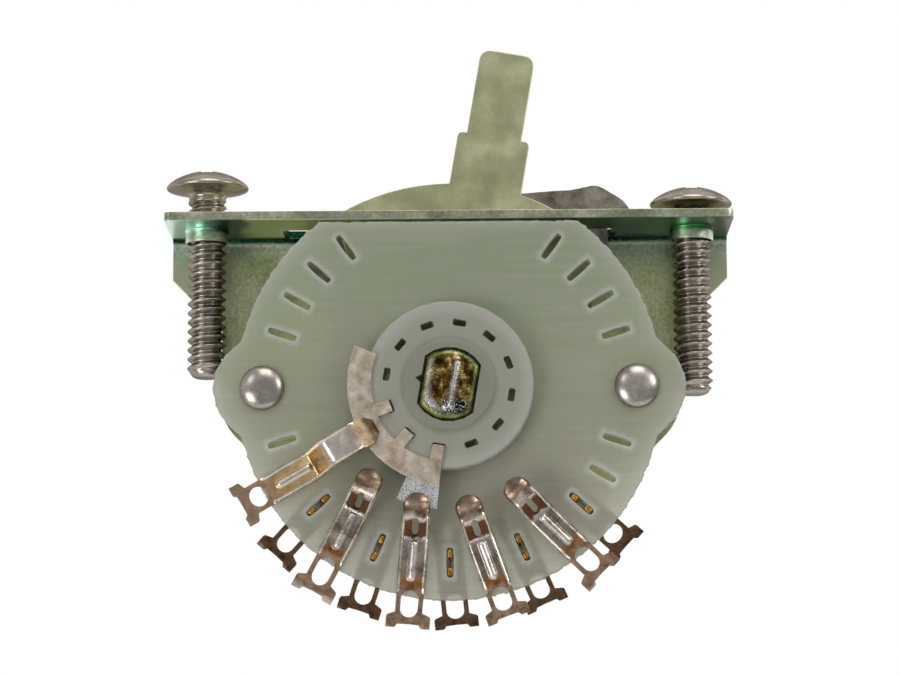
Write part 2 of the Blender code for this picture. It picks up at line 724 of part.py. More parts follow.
def lever_blank():
    shank, tip = SHANK_WIDTH / 2, TIP_WIDTH / 2
    base = math.sqrt(SECTOR_RADIUS**2 - shank**2)
    start = 90 - SECTOR_HALF_ANGLE
    meet = math.degrees(math.atan2(base, shank))
    tip_corner = arc(TIP_CORNER, 0, 90, 5, (tip - TIP_CORNER, TIP_TOP - TIP_CORNER))
    shoulder = arc(SHOULDER_CORNER, 0, 90, 3, (shank - SHOULDER_CORNER, SHANK_TOP - SHOULDER_CORNER))
    edge_x = SECTOR_RADIUS * math.cos(math.radians(start))
    edge_y = SECTOR_RADIUS * math.sin(math.radians(start))
    side = arc(SECTOR_RADIUS, start, meet, 8)[1:]
    hub = arc(LEVER_HUB_RADIUS, -90, start - 35, 6)
    side_start = rounded_corner(hub[-1], (edge_x, edge_y), side[0], SECTOR_FILLET)
    right = [*hub, *side_start, *side, *shoulder, (tip, SHANK_TOP), *tip_corner]
    left = [(-x, y) for x, y in reversed(right) if x > 1e-9]
    ball_hole = circle(BALL_RADIUS + BORE_GAP, 16, (0.0, BALL_CIRCLE))
    return thick(blank(right + left, [shaft_bore(BORE_GAP), ball_hole]), LEVER_SHEET)


lever_mesh = mesh_of("lever_plate", lever_blank())
lever = add("lever_plate", lever_mesh, LEVER_STEEL, lever_face, (0.0, 0.0, -LEVER_MIDDLE))
edge = lever.modifiers.new("edge", "BEVEL")
edge.width = LEVER_EDGE
edge.segments = 1
edge.limit_method = "ANGLE"
edge.angle_limit = math.radians(60)


# The shaft: two flats drive the rotor and the lever, and a ring behind the bracket keeps it in.


def shaft():
    """A round bar along Z with a domed front end and a groove near its back end."""
    front = -ROTOR_FRONT + SHAFT_PROUD
    groove_front = -BACK - 2 * SEAT_GAP
    groove_back = groove_front - RING_SHEET - 2 * SEAT_GAP
    back = -BACK - SHAFT_BACK
    dome = [
        (SHAFT_RADIUS * math.sin(math.radians(a)), front + SHAFT_DOME * math.cos(math.radians(a)))
        for a in (0, 20, 40, 58, 74)
    ]
    rest = [
        (SHAFT_RADIUS, front - 0.12 * MM),
        (SHAFT_RADIUS, groove_front),
        (SHAFT_RADIUS - RING_GROOVE, groove_front),
        (SHAFT_RADIUS - RING_GROOVE, groove_back),
        (SHAFT_RADIUS, groove_back),
        (SHAFT_RADIUS, back + 0.3 * MM),
        (SHAFT_RADIUS - 0.3 * MM, back),
        (0.0, back),
    ]
    return turned(dome + rest, 20)


def flats():
    """The two sides milled off the front of the shaft, as far back as the lever."""
    near, far = SHAFT_FLATS / 2, SHAFT_RADIUS + MM
    low, high = -LEVER_BACK, -ROTOR_FRONT + SHAFT_PROUD + SHAFT_DOME + MM
    right = block((near, -far, low), (far, far, high))
    left = block((-far, -far, low), (-near, far, high))
    return joined(right, left)


def retaining_ring():
    """An open ring that snaps into the shaft's groove."""
    inner = SHAFT_RADIUS - RING_GROOVE + BORE_GAP
    start, end = 90 + RING_MOUTH / 2, 450 - RING_MOUTH / 2
    outline = arc(inner + RING_WIDTH, start, end, 18) + arc(inner, end, start, 14)
    return thick(blank(outline), RING_SHEET)


shaft_piece = add("shaft", mesh_of("shaft", shaft()), SHAFT_STEEL, lever_face)
boolean(shaft_piece, tool("shaft_flats", flats(), lever_face), "DIFFERENCE")
ring_middle = -BACK - 3 * SEAT_GAP - RING_SHEET / 2
ring_mesh = mesh_of("retaining_ring", retaining_ring())
add("retaining_ring", ring_mesh, BRIGHT_STEEL, lever_face, (0.0, 0.0, ring_middle))


# The rotor: a flange in front of the wafer and a hub through it, with twelve small slots.


def rotor():
    """The turned form of the rotor, along Z from the wafer's front face."""
    flange, hub = ROTOR_PROUD, -WAFER_SHEET - ROTOR_PROUD
    return turned([
        (0.0, flange + ROTOR_BOSS_RISE),
        (ROTOR_BOSS_RADIUS - 0.2 * MM, flange + ROTOR_BOSS_RISE),
        (ROTOR_BOSS_RADIUS, flange),
        (ROTOR_RADIUS - 0.15 * MM, flange),
        (ROTOR_RADIUS, flange - 0.15 * MM),
        (ROTOR_RADIUS, SEAT_GAP),
        (ROTOR_HUB_RADIUS, SEAT_GAP),
        (ROTOR_HUB_RADIUS, hub),
        (0.0, hub),
    ], 30)


def rotor_cutters():
    """The shaft's hole with its key notch, and the slots, as one set of cutters."""
    span = WAFER_SHEET + 2 * ROTOR_PROUD + 2 * MM
    bore = shaft_bore(BORE_GAP)
    side = -SHAFT_FLATS / 2 - BORE_GAP
    notch = [(side, 0.45 * MM), (side - KEY_NOTCH, 0.1 * MM), (side, -0.25 * MM)]
    half = len(bore) // 2
    cutters = [thick(blank(bore[:half] + notch + bore[half:]), span)]
    for number in range(ROTOR_SLOTS):
        slot = box(ROTOR_SLOT_WIDTH, ROTOR_SLOT_LENGTH, 0.1 * MM, (ROTOR_SLOT_CIRCLE, 0.0))
        cutters.append(thick(blank(turned_by(slot, number * 360 / ROTOR_SLOTS)), span))
    return joined(*cutters)


rotor_face = stand("rotor_face", lever_pivot, (0.0, WAFER_FRONT, 0.0), (90.0, 0.0, 0.0))
rotor_piece = add("rotor", mesh_of("rotor", rotor()), ROTOR_PLASTIC, rotor_face)
cutters = tool("rotor_cutters", rotor_cutters(), rotor_face, wafer_middle)
boolean(rotor_piece, cutters, "DIFFERENCE", "MANIFOLD")


# The two contact blades on the rotor: a band, a tab that meets the throws, and fingers in its slots.


def blade_blank(band, tab, fingers):
    """The flat form of a blade, with angles from straight down."""
    points = arc(BAND_OUTER, from_down(band[0]), from_down(tab[0]), 12) if band[0] < tab[0] else []
    points += arc(TAB_OUTER, from_down(tab[0]), from_down(tab[1]), 4)
    if band[1] > tab[1]:
        points += arc(BAND_OUTER, from_down(tab[1]), from_down(band[1]), 12)
    finger_top = ROTOR_SLOT_CIRCLE + ROTOR_SLOT_WIDTH / 2 - BORE_GAP - BLADE_SHEET
    half_angle = math.degrees(math.asin(FINGER_WIDTH / 2 / BAND_INNER))
    root = BAND_INNER * math.cos(math.radians(half_angle))
    at = band[1]
    for finger in sorted(fingers, reverse=True):
        points += arc(BAND_INNER, from_down(at), from_down(finger + half_angle), 5)
        ends = [(finger_top, FINGER_WIDTH / 2), (finger_top, -FINGER_WIDTH / 2), (root, -FINGER_WIDTH / 2)]
        points += turned_by(ends, from_down(finger))[:2]
        at = finger - half_angle
    points += arc(BAND_INNER, from_down(at), from_down(band[0]), 6)
    return thick(blank(points), BLADE_SHEET)


def finger_ends(fingers):
    """The ends of the fingers, turned down into the rotor's slots."""
    outer = ROTOR_SLOT_CIRCLE + ROTOR_SLOT_WIDTH / 2 - BORE_GAP
    ends = []
    for finger in fingers:
        half = FINGER_WIDTH / 2 - BORE_GAP
        end = block((outer - BLADE_SHEET, -half, -FINGER_DEPTH), (outer, half, 0.0))
        turn = Matrix.Rotation(math.radians(from_down(finger)), 3, "Z")
        bmesh.ops.rotate(end, cent=(0.0, 0.0, 0.0), matrix=turn, verts=end.verts)
        ends.append(end)
    return joined(*ends)


rotor_rear = stand("rotor_rear", lever_pivot, (0.0, WAFER_BACK, 0.0), (90.0, 0.0, 180.0))
blade_height = (0.0, 0.0, ROTOR_PROUD + SEAT_GAP + BLADE_SHEET / 2)


def opposite(angles):
    """Angles from straight down, as a piece on the wafer's rear face sees them."""
    return tuple(sorted(-a for a in angles))


front_mesh = mesh_of("front_blade", blade_blank(FRONT_BAND, FRONT_TAB, FRONT_FINGERS))
front_blade = add("front_blade", front_mesh, SILVERED_BRASS, rotor_face, blade_height)
boolean(front_blade, tool("front_fingers", finger_ends(FRONT_FINGERS), rotor_face, blade_height), "UNION")
rear_fingers = opposite(BACK_FINGERS)
rear_mesh = mesh_of("back_blade", blade_blank(opposite(BACK_BAND), opposite(BACK_TAB), rear_fingers))
back_blade = add("back_blade", rear_mesh, SILVERED_BRASS, rotor_rear, blade_height)
boolean(back_blade, tool("back_fingers", finger_ends(rear_fingers), rotor_rear, blade_height), "UNION")


# The solder lugs: strips with a T-shaped foot, an eyelet, a rib over their staple and a sprung tip.


SEAT = SEAT_GAP + LUG_SHEET / 2
TOUCH = CONTACT_HEIGHT + LUG_SHEET / 2
RIB_START, RIB_END = SLOT_CIRCLE - RIB_INSIDE, SLOT_CIRCLE + RIB_OUTSIDE
FOOT_ROOT = FOOT_END - FOOT_LENGTH

# Distance from the shaft and height off the wafer of the strip's middle, at each bend.
THROW_BENDS = (
    (THROW_TIP, TOUCH + 0.25 * MM),
    (THROW_TIP + 0.75 * MM, TOUCH),
    (THROW_TIP + SPOON_LENGTH, TOUCH + 0.3 * MM),
    (RIB_START - LANDING, SEAT + 0.45 * MM),
    (RIB_END, SEAT),
    (FOOT_END, SEAT),
)
COMMON_BENDS = (
    (COMMON_TIP, TOUCH + 0.15 * MM),
    (COMMON_TIP + 0.6 * MM, TOUCH),
    (COMMON_TIP + 2.0 * MM, TOUCH + 0.6 * MM),
    (RIB_START - LANDING - CREST_FALL, TOUCH + 0.5 * MM),
    (RIB_START - LANDING, SEAT),
    (FOOT_END, SEAT),
)


def height_at(bends, u):
    """The strip's height at the distance u, straight between its bends."""
    for (u0, h0), (u1, h1) in zip(bends, bends[1:]):
        if u <= u1:
            return h0 + (h1 - h0) * (u - u0) / (u1 - u0)
    return bends[-1][1]


def rib_at(u, v):
    """The rib's rise over the strip, highest along the middle."""
    if not RIB_START < u < RIB_END:
        return 0.0
    return RIB_HEIGHT * max(0.0, 1 - abs(v) / (RIB_WIDTH / 2))


def foot():
    """The upper half of the T-shaped foot, from the strip's side to the recess between its toes."""
    side, toe = FOOT_WIDTH / 2, FOOT_WIDTH / 2 - TOE_WIDTH
    inner = FOOT_END - FOOT_RECESS
    return [(FOOT_ROOT + FOOT_FLARE, side), (FOOT_END, side), (FOOT_END, toe), (inner, toe - TOE_SLOPE)]


def throw_outline():
    half, tip = LUG_WIDTH / 2, LUG_WIDTH / 2 - 0.08 * MM
    nose = arc(tip, 180, 90, 3, (THROW_TIP + tip, 0.0))
    return mirrored([*nose, (RIB_START - LANDING, half), (FOOT_ROOT, half), *foot()])


def common_outline():
    half = COMMON_WIDTH / 2
    nose = [(COMMON_TIP, 0.4 * half), (COMMON_TIP + 0.75 * MM, half)]
    return mirrored([*nose, (FOOT_ROOT, half), *foot()])


def oblong(width, length, centre, steps=3):
    """A hole with round ends, longer along X."""
    run = (length - width) / 2
    right = arc(width / 2, -90, 90, steps, (centre + run, 0.0))
    left = arc(width / 2, 90, 270, steps, (centre - run, 0.0))
    return right + left if run > 0 else circle(width / 2, 2 * steps + 2, (centre, 0.0))


def prongs(bends):
    """The two ends of the staple, from inside the strip down through the wafer's slot."""
    ends = []
    for way in (-1, 1):
        middle = SLOT_CIRCLE + way * PRONG_SPREAD / 2
        low = (middle - PRONG_LENGTH / 2, -PRONG_WIDTH / 2, -WAFER_SHEET + SEAT_GAP)
        inside = height_at(bends, middle) + rib_at(middle, PRONG_WIDTH / 4)
        high = (middle + PRONG_LENGTH / 2, PRONG_WIDTH / 2, inside)
        ends.append(block(low, high))
    return joined(*ends)


def lug_mesh(name, outline, eyelet, window, bends):
    """A lug pressed from its flat blank: the distance from the shaft runs along X."""
    sheet = blank(outline, [eyelet, *window])
    for u, _ in bends[1:-1]:
        score(sheet, (u, 0.0), (1.0, 0.0))
    for u in (RIB_START, RIB_START + RIB_RUN_IN, RIB_END - RIB_RUN_IN, RIB_END):
        score(sheet, (u, 0.0), (1.0, 0.0))
    for v in (-RIB_WIDTH / 2, 0.0, RIB_WIDTH / 2):
        score(sheet, (0.0, v), (0.0, 1.0), lambda c: RIB_START < c.x < RIB_END)
    joined_between_seams(sheet)
    press(sheet, lambda u, v: (u, v, height_at(bends, u) + rib_at(u, v)))
    strip = add(name, mesh_of(name, sheet), TINNED_BRASS, body)
    solidify(strip, LUG_SHEET)
    boolean(strip, tool(f"{name}_staple", prongs(bends), body), "UNION", "MANIFOLD")
    mesh = applied(strip, name)
    bpy.data.objects.remove(strip)
    return mesh


window_ends = (THROW_TIP + SPOON_LENGTH + WINDOW_MARGIN, RIB_START - LANDING - WINDOW_MARGIN)
window_middle = (sum(window_ends) / 2, 0.0)
window_length = window_ends[1] - window_ends[0]
throw_window = box(window_length, WINDOW_WIDTH, WINDOW_CORNER, window_middle)
throw_eyelet = oblong(EYELET_WIDTH, EYELET_LENGTH, EYELET_CENTRE)
common_eyelet = circle(COMMON_EYELET, 12, (EYELET_CENTRE, 0.0))
throw_mesh = lug_mesh("throw_lug", throw_outline(), throw_eyelet, [throw_window], THROW_BENDS)
common_mesh = lug_mesh("common_lug", common_outline(), common_eyelet, [], COMMON_BENDS)

for number, step in enumerate(FRONT_THROWS, 1):
    turn = (0.0, 0.0, from_down(slot_angle(step)))
    add(f"front_throw_lug_{number}", throw_mesh, TINNED_BRASS, wafer_face, rotation=turn)
for number, step in enumerate(BACK_THROWS, 1):
    turn = (0.0, 0.0, from_down(slot_angle(-step)))
    add(f"back_throw_lug_{number}", throw_mesh, TINNED_BRASS, wafer_rear, rotation=turn)
common_turn = (0.0, 0.0, from_down(slot_angle(FRONT_COMMON)))
add("front_common_lug", common_mesh, TINNED_BRASS, wafer_face, rotation=common_turn)
rear_turn = (0.0, 0.0, from_down(slot_angle(-BACK_COMMON)))
add("back_common_lug", common_mesh, TINNED_BRASS, wafer_rear, rotation=rear_turn)


# The index spring: its foot lies on the bracket, its leaf stands behind the lever and through the slot.


def positions():
    """The lever's tilt in degrees at each of the switch's positions."""
    return [LEVER_TILT + INDEX_STEP * n for n in range(-STEPS_BELOW_REST, STEPS_ABOVE_REST + 1)]


def off_groove(x, y, tilt):
    """How far a point lies to the side of a groove, and how far out along it."""
    a = math.radians(tilt)
    return x * math.cos(a) - y * math.sin(a), x * math.sin(a) + y * math.cos(a)


def spring_outline():
    """The leaf, wider above the bracket than in its slot, with its free end standing up at the right."""
    slot_side = LEVER_SLOT_LENGTH / 2 - SPRING_SLOT_CLEARANCE
    narrow = SHAFT_DROP - SPRING_NECK
    over = SHAFT_DROP + SPRING_LIFT
    right = [(SPRING_BASE_RADIUS, 0.0), (slot_side, narrow), (slot_side, over), (SPRING_REACH, over)]
    edge = curve_through([(x, SHAFT_DROP + rise) for x, rise in SPRING_EDGE], 2)
    left = [(edge[-1][0], narrow)]
    base = arc(SPRING_BASE_RADIUS, 180, 360, 16)[:-1]
    return right + edge + left + base


def near_groove(point, tilt):
    aside, _ = off_groove(point.x, point.y, tilt)
    return point.y > GROOVE_START and abs(aside) < 3 * GROOVE_HALF_WIDTH


def spring_form(x, y):
    """Height of the leaf's middle towards the front, over the line of the shaft."""
    base = -(PLATE_FRONT - SEAT_GAP - SPRING_SHEET / 2)
    face = -(SPRING_FACE + SPRING_SHEET / 2)
    up = min(max((y - SPRING_FOOT_TOP) / (SPRING_FACE_FOOT - SPRING_FOOT_TOP), 0.0), 1.0)
    height = base + (face - base) * up
    if y > SPRING_FACE_FOOT:
        for tilt in positions():
            aside, out = off_groove(x, y, tilt)
            fade = min(max((out - GROOVE_START) / GROOVE_RUN_IN, 0.0), 1.0)
            height -= GROOVE_DEPTH * fade * max(0.0, 1 - abs(aside) / GROOVE_HALF_WIDTH)
    return x, y, height


def index_spring():
    small = [
        circle(INDEX_RIVET_RADIUS + BORE_GAP, 10, (side * INDEX_RIVET_SPREAD, -INDEX_RIVET_DROP))
        for side in (-1, 1)
    ]
    sheet = blank(spring_outline(), [circle(SHAFT_RADIUS + SPRING_CLEARANCE, 20), *small])
    for y in (SPRING_FOOT_TOP, SPRING_FACE_FOOT, GROOVE_START, GROOVE_START + GROOVE_RUN_IN):
        score(sheet, (0.0, y), (0.0, 1.0))
    for tilt in positions():
        a = math.radians(tilt)
        across = (math.cos(a), -math.sin(a))
        for offset in (-GROOVE_HALF_WIDTH, 0.0, GROOVE_HALF_WIDTH):
            point = (across[0] * offset, across[1] * offset)
            score(sheet, point, across, lambda c: near_groove(c, tilt))
    press(sheet, spring_form)
    return sheet


spring = add("index_spring", mesh_of("index_spring", index_spring()), SPRING_STEEL, shaft_line)
solidify(spring, SPRING_SHEET)

small_grip = BACK - (PLATE_FRONT - SEAT_GAP - SPRING_SHEET) + 2 * SEAT_GAP
small_rivet = rivet(INDEX_RIVET_RADIUS, INDEX_RIVET_HEAD_RADIUS, INDEX_RIVET_HEAD_HEIGHT, small_grip, 10)
small_rivet_mesh = mesh_of("small_rivet", small_rivet)
small_seat = -(PLATE_FRONT - SEAT_GAP - SPRING_SHEET - SEAT_GAP)
for side, hand in ((-1, "left"), (1, "right")):
    spot = (side * INDEX_RIVET_SPREAD, -INDEX_RIVET_DROP, small_seat)
    add(f"index_rivet_{hand}", small_rivet_mesh, NICKEL, shaft_line, spot)


# The index ball, in the lever's hole, just clear of the leaf between two grooves.


ball = bmesh.new()
bmesh.ops.create_icosphere(ball, subdivisions=2, radius=BALL_RADIUS)
ball_depth = -(SPRING_FACE - 0.08 * MM - BALL_RADIUS)
ball_mesh = mesh_of("index_ball", ball)
add("index_ball", ball_mesh, BRIGHT_STEEL, lever_face, (0.0, BALL_CIRCLE, ball_depth))
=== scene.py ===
"""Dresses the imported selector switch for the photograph's view."""

import math

import bmesh
import bpy
import numpy as np
from mathutils import Matrix, Vector


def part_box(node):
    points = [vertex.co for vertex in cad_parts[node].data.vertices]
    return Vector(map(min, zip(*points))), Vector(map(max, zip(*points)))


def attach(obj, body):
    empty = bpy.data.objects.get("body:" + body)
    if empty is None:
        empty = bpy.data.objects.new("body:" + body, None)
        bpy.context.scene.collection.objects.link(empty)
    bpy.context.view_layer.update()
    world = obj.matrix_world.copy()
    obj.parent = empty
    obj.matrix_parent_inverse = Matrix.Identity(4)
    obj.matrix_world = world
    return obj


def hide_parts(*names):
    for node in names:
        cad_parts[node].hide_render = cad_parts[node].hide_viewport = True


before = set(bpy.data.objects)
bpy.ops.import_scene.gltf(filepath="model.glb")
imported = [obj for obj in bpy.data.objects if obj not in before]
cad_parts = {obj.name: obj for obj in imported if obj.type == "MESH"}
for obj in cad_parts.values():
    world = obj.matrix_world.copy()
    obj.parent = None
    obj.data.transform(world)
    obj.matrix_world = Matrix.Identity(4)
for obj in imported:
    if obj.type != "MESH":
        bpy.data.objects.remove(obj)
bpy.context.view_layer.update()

# The camera, fitted to the photograph: 285 mm in front of the switch and a little below it, looking
# slightly up, with a long lens.
camera = bpy.data.cameras.new("camera")
camera.sensor_width = 36.0
camera.lens = 136.0
camera.clip_start = 0.01
viewer = bpy.data.objects.new("camera", camera)
bpy.context.scene.collection.objects.link(viewer)
stand = Matrix.Translation((0.002972772, -0.285045446, -0.055585997))
aside = Matrix.Rotation(0.010324, 4, "Z")
upwards = Matrix.Rotation(math.pi / 2 + 0.158406, 4, "X")
roll = Matrix.Rotation(-0.00475, 4, "Z")
viewer.matrix_world = stand @ (aside @ upwards) @ roll
bpy.context.scene.camera = viewer
bpy.context.scene.view_settings.view_transform = "Standard"

# The mounting bracket: 0.75 mm steel sheet, blanked, folded and drawn in a press, then plated with
# zinc and dipped in yellow chromate, which dries in olive, green and straw stains.
MM = 0.001
# The shaft's axis is 15 mm under the bracket's top face, and the screws stand 41.275 mm apart.
SHAFT_DROP = 15.0 * MM
SCREW_ASIDE = 41.275 / 2 * MM


def linear(code):
    """An sRGB hex code such as "#8c7666" as the linear RGBA that a shader takes."""
    parts = [int(code[i : i + 2], 16) / 255 for i in (1, 3, 5)]
    return (*[p / 12.92 if p <= 0.04045 else ((p + 0.055) / 1.055) ** 2.4 for p in parts], 1.0)


def node(tree, kind, inputs=None, stops=(), **settings):
    """Adds one shader node: inputs maps a socket's name or number to a value or to another socket,
    and a colour ramp takes its stops as (position, colour code)."""
    made = tree.nodes.new("ShaderNode" + kind)
    for key, value in settings.items():
        setattr(made, key, value)
    for key, value in (inputs or {}).items():
        if isinstance(value, bpy.types.NodeSocket):
            tree.links.new(value, made.inputs[key])
        else:
            made.inputs[key].default_value = value
    if stops:
        band = made.color_ramp.elements
        while len(band) < len(stops):
            band.new(0.5)
        for element, (position, code) in zip(band, stops):
            element.position = position
            element.color = linear(code)
    return made


def material(name, metallic):
    """A new material with its node tree, its shader and its object coordinates."""
    made = bpy.data.materials.new(name)
    made.use_nodes = True
    tree = made.node_tree
    shader = tree.nodes["Principled BSDF"]
    shader.inputs["Metallic"].default_value = metallic
    return made, tree, shader, node(tree, "TexCoord").outputs["Object"]


def finish_off(tree, shader, colour, patches, grain, gloss, relief):
    """Colours a shader, varies its roughness over the patches and raises its grain by relief metres."""
    tree.links.new(colour, shader.inputs["Base Color"])
    spread = {"From Min": 0.3, "From Max": 0.7, "To Min": gloss[0], "To Max": gloss[1]}
    rough = node(tree, "MapRange", {0: patches, **spread})
    tree.links.new(rough.outputs[0], shader.inputs["Roughness"])
    bump = node(tree, "Bump", {"Height": grain, "Distance": relief, "Strength": 1.0})
    tree.links.new(bump.outputs[0], shader.inputs["Normal"])


def from_shaft(tree, at):
    """A point's distance from the shaft's axis: the length of its x and its height over the axis."""
    x, y, z = node(tree, "SeparateXYZ", {0: at}).outputs
    height = node(tree, "Math", {0: z, 1: SHAFT_DROP}, operation="ADD").outputs[0]
    flat = node(tree, "CombineXYZ", {0: x, 2: height}).outputs[0]
    return node(tree, "VectorMath", {0: flat}, operation="LENGTH").outputs["Value"]


def show(name, mesh, look, body, cad_node):
    """Shows a mesh as a piece that rides on a body and stands for a CAD node."""
    made = bpy.data.objects.new(name, mesh)
    mesh.materials.clear()
    mesh.materials.append(look)
    bpy.context.scene.collection.objects.link(made)
    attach(made, body)
    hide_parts(cad_node)
    return made


def bevel(piece, width, angle):
    """Rounds a piece's edges that turn by more than the angle in degrees, and shades its flats flat."""
    rounding = piece.modifiers.new("rounding", "BEVEL")
    rounding.width = width
    rounding.segments = 2
    rounding.limit_method = "ANGLE"
    rounding.angle_limit = math.radians(angle)
    piece.modifiers.new("flats", "WEIGHTED_NORMAL").keep_sharp = True


def softened(cad_node, look, body, width):
    """A copy of a CAD node with its mesh merged, its edges rounded by width and its curves smooth."""
    solid = bmesh.new()
    solid.from_mesh(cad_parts[cad_node].data)
    bmesh.ops.remove_doubles(solid, verts=solid.verts, dist=1e-6)
    coplanar = math.radians(0.3)
    bmesh.ops.dissolve_limit(solid, angle_limit=coplanar, verts=solid.verts, edges=solid.edges)
    mesh = bpy.data.meshes.new(cad_node)
    solid.to_mesh(mesh)
    solid.free()
    mesh.shade_smooth()
    made = show(cad_node + "_dressed", mesh, look, body, cad_node)
    bevel(made, width, 30.0)
    return made


def positions_of(mesh):
    """The mesh's vertices as an array."""
    flat = np.empty(len(mesh.vertices) * 3, np.float32)
    mesh.vertices.foreach_get("co", flat)
    return flat.reshape(-1, 3)


# Chromate over zinc: straw to olive on the plates. Under the top plate it goes from mint through olive
# to dark green, where it is thickest, with a painted highlight near its left end and painted shadow
# beside the left collar. Painted shade darkens the bend and the slot, a painted highlight lights the
# band just below the bend, and the front edge is bare grey. Behind the wafer the plate is painted near
# white: painted light for the light that the translucent wafer lets through.
# Its crystals are finer than a pixel, so their speckle is drawn 0.3 mm across.
chromate, tree, shader, at = material("yellow_chromated_zinc_on_pressed_steel", 1.0)
x, y, z = node(tree, "SeparateXYZ", {0: at}).outputs
clouds = node(tree, "TexNoise", {"Vector": at, "Scale": 1 / (4.5 * MM), "Detail": 5.0}).outputs["Fac"]
speckle = node(tree, "TexNoise", {"Vector": at, "Scale": 1 / (0.3 * MM), "Detail": 2.0}).outputs["Fac"]
mixed = node(tree, "Math", {0: speckle, 1: 0.6, 2: clouds}, operation="MULTIPLY_ADD").outputs[0]
level = node(tree, "MapRange", {0: mixed, "From Min": 0.5, "From Max": 1.1}).outputs[0]
# The stains on the plates, the painted shade in the bend, the sheared front edge's bare grey and the
# painted highlight just below the bend.
plate = node(tree, "ValToRGB", {0: level}, stops=[
    (0.0, "#8a9462"), (0.4, "#b7c090"), (0.7, "#ced5ac"), (1.0, "#f3f4dc"),
]).outputs[0]
# Bend: painted shade, near black, for the fold's inner corner and the walls of the lever's slot.
bend = node(tree, "ValToRGB", {0: level}, stops=[
    (0.0, "#050f09"), (0.5, "#10301f"), (1.0, "#3a7a58"),
]).outputs[0]
bare = node(tree, "ValToRGB", {0: level}, stops=[
    (0.0, "#878a74"), (0.5, "#b2b59d"), (1.0, "#dfe2cc"),
]).outputs[0]
# Mint: the pale band just below the bend, a painted highlight over the speckled chromate.
mint_and_highlight = node(tree, "ValToRGB", {0: level}, stops=[
    (0.0, "#7f957a"), (0.5, "#b8c8ab"), (1.0, "#f4fbee"),
]).outputs[0]
# The stains under the top plate, along it from just past its left end to just past its right end. Near
# the left end the mint white is a painted highlight, and the dark green just right of the left collar is
# painted shadow; towards the right end it is darker green.
span = {"From Min": -24.4 * MM, "From Max": 24.4 * MM, "To Min": -0.05, "To Max": 0.95}
across = node(tree, "MapRange", {0: x, **span}, clamp=False).outputs[0]
shifted = node(tree, "Math", {0: clouds, 1: 0.1, 2: across}, operation="MULTIPLY_ADD").outputs[0]
under = node(tree, "ValToRGB", {0: shifted}, stops=[
    (0.02, "#e6fff4"), (0.06, "#a9e6c8"), (0.1, "#1f5a34"), (0.135, "#234420"), (0.16, "#dce8a0"),
    (0.3, "#f8febc"), (0.42, "#b4dc9a"), (0.7, "#2f6b3a"), (0.84, "#1c4a26"), (0.9, "#4fa062"),
    (0.96, "#1f3a1c"),
]).outputs[0]
# Where the stains lie. The top plate is 0.75 mm thick, and the vertical plate's inner face is 4.25 mm
# back. Under shows on the top plate's underside, and the bend's painted shade takes its place towards
# the back, in the fold's inner corner.
below = node(tree, "MapRange", {0: z, "From Min": -0.66 * MM, "From Max": -0.76 * MM}).outputs[0]
above = node(tree, "MapRange", {0: z, "From Min": -1.2 * MM, "From Max": -0.95 * MM}).outputs[0]
inside = node(tree, "MapRange", {0: y, "From Min": 4.6 * MM, "From Max": 4.4 * MM}).outputs[0]
under_top = node(tree, "Math", {0: below, 1: above}, operation="MULTIPLY").outputs[0]
inner = node(tree, "Math", {0: under_top, 1: inside}, operation="MULTIPLY").outputs[0]
back = node(tree, "MapRange", {0: y, "From Min": 2.6 * MM, "From Max": 3.6 * MM}).outputs[0]
shade = node(tree, "Mix", {0: back, 6: under, 7: bend}, data_type="RGBA").outputs[2]
# On the vertical plate: an even, unmottled pale khaki beyond 21 mm from the shaft, painted light near
# white within 16 mm behind the wafer, and a painted mint highlight just below the bend.
distance = from_shaft(tree, at)
# Painted light: within 16 mm of the shaft and behind the wafer the plate is near white, for the light that
# the translucent wafer lets through.
covered = node(tree, "MapRange", {0: distance, "From Min": 16.2 * MM, "From Max": 15.2 * MM}).outputs[0]
# Beyond 21 mm from the shaft the plate fades to an even, unmottled pale khaki.
past_21mm = node(tree, "MapRange", {0: distance, "From Min": 21 * MM, "From Max": 24 * MM}).outputs[0]
plain_outside = node(tree, "Mix", {0: past_21mm, 6: plate, 7: linear("#c5cbab")}, data_type="RGBA").outputs[2]
through_wafer_light = node(tree, "Math", {0: covered, 1: inside}, operation="MULTIPLY").outputs[0]
with_painted_light = node(tree, "Mix", {0: through_wafer_light, 6: plain_outside, 7: linear("#f4f8b8")}, data_type="RGBA").outputs[2]
fade = node(tree, "MapRange", {0: z, "From Min": -3.0 * MM, "From Max": -1.6 * MM}).outputs[0]
band = node(tree, "Math", {0: fade, 1: inside}, operation="MULTIPLY").outputs[0]
lower = node(tree, "Mix", {0: band, 6: with_painted_light, 7: mint_and_highlight}, data_type="RGBA").outputs[2]
# On the top plate's edges: painted shade in the lever's slot, which is 28.4 mm long, and bare elsewhere.
on_edge = node(tree, "MapRange", {0: z, "From Min": -0.02 * MM, "From Max": -0.08 * MM}).outputs[0]
off_middle = node(tree, "Math", {0: x}, operation="ABSOLUTE").outputs[0]
within = node(tree, "MapRange", {0: off_middle, "From Min": 14.7 * MM, "From Max": 14.4 * MM}).outputs[0]
nearer = node(tree, "MapRange", {0: y, "From Min": 4.2 * MM, "From Max": 3.9 * MM}).outputs[0]
farther = node(tree, "MapRange", {0: y, "From Min": -0.6 * MM, "From Max": -0.3 * MM}).outputs[0]
between = node(tree, "Math", {0: nearer, 1: farther}, operation="MULTIPLY").outputs[0]
in_slot = node(tree, "Math", {0: between, 1: within}, operation="MULTIPLY").outputs[0]
edge_and_slot_shade = node(tree, "Mix", {0: in_slot, 6: bare, 7: bend}, data_type="RGBA").outputs[2]
upper = node(tree, "Mix", {0: on_edge, 6: plate, 7: edge_and_slot_shade}, data_type="RGBA").outputs[2]
rest = node(tree, "Mix", {0: below, 6: upper, 7: lower}, data_type="RGBA").outputs[2]
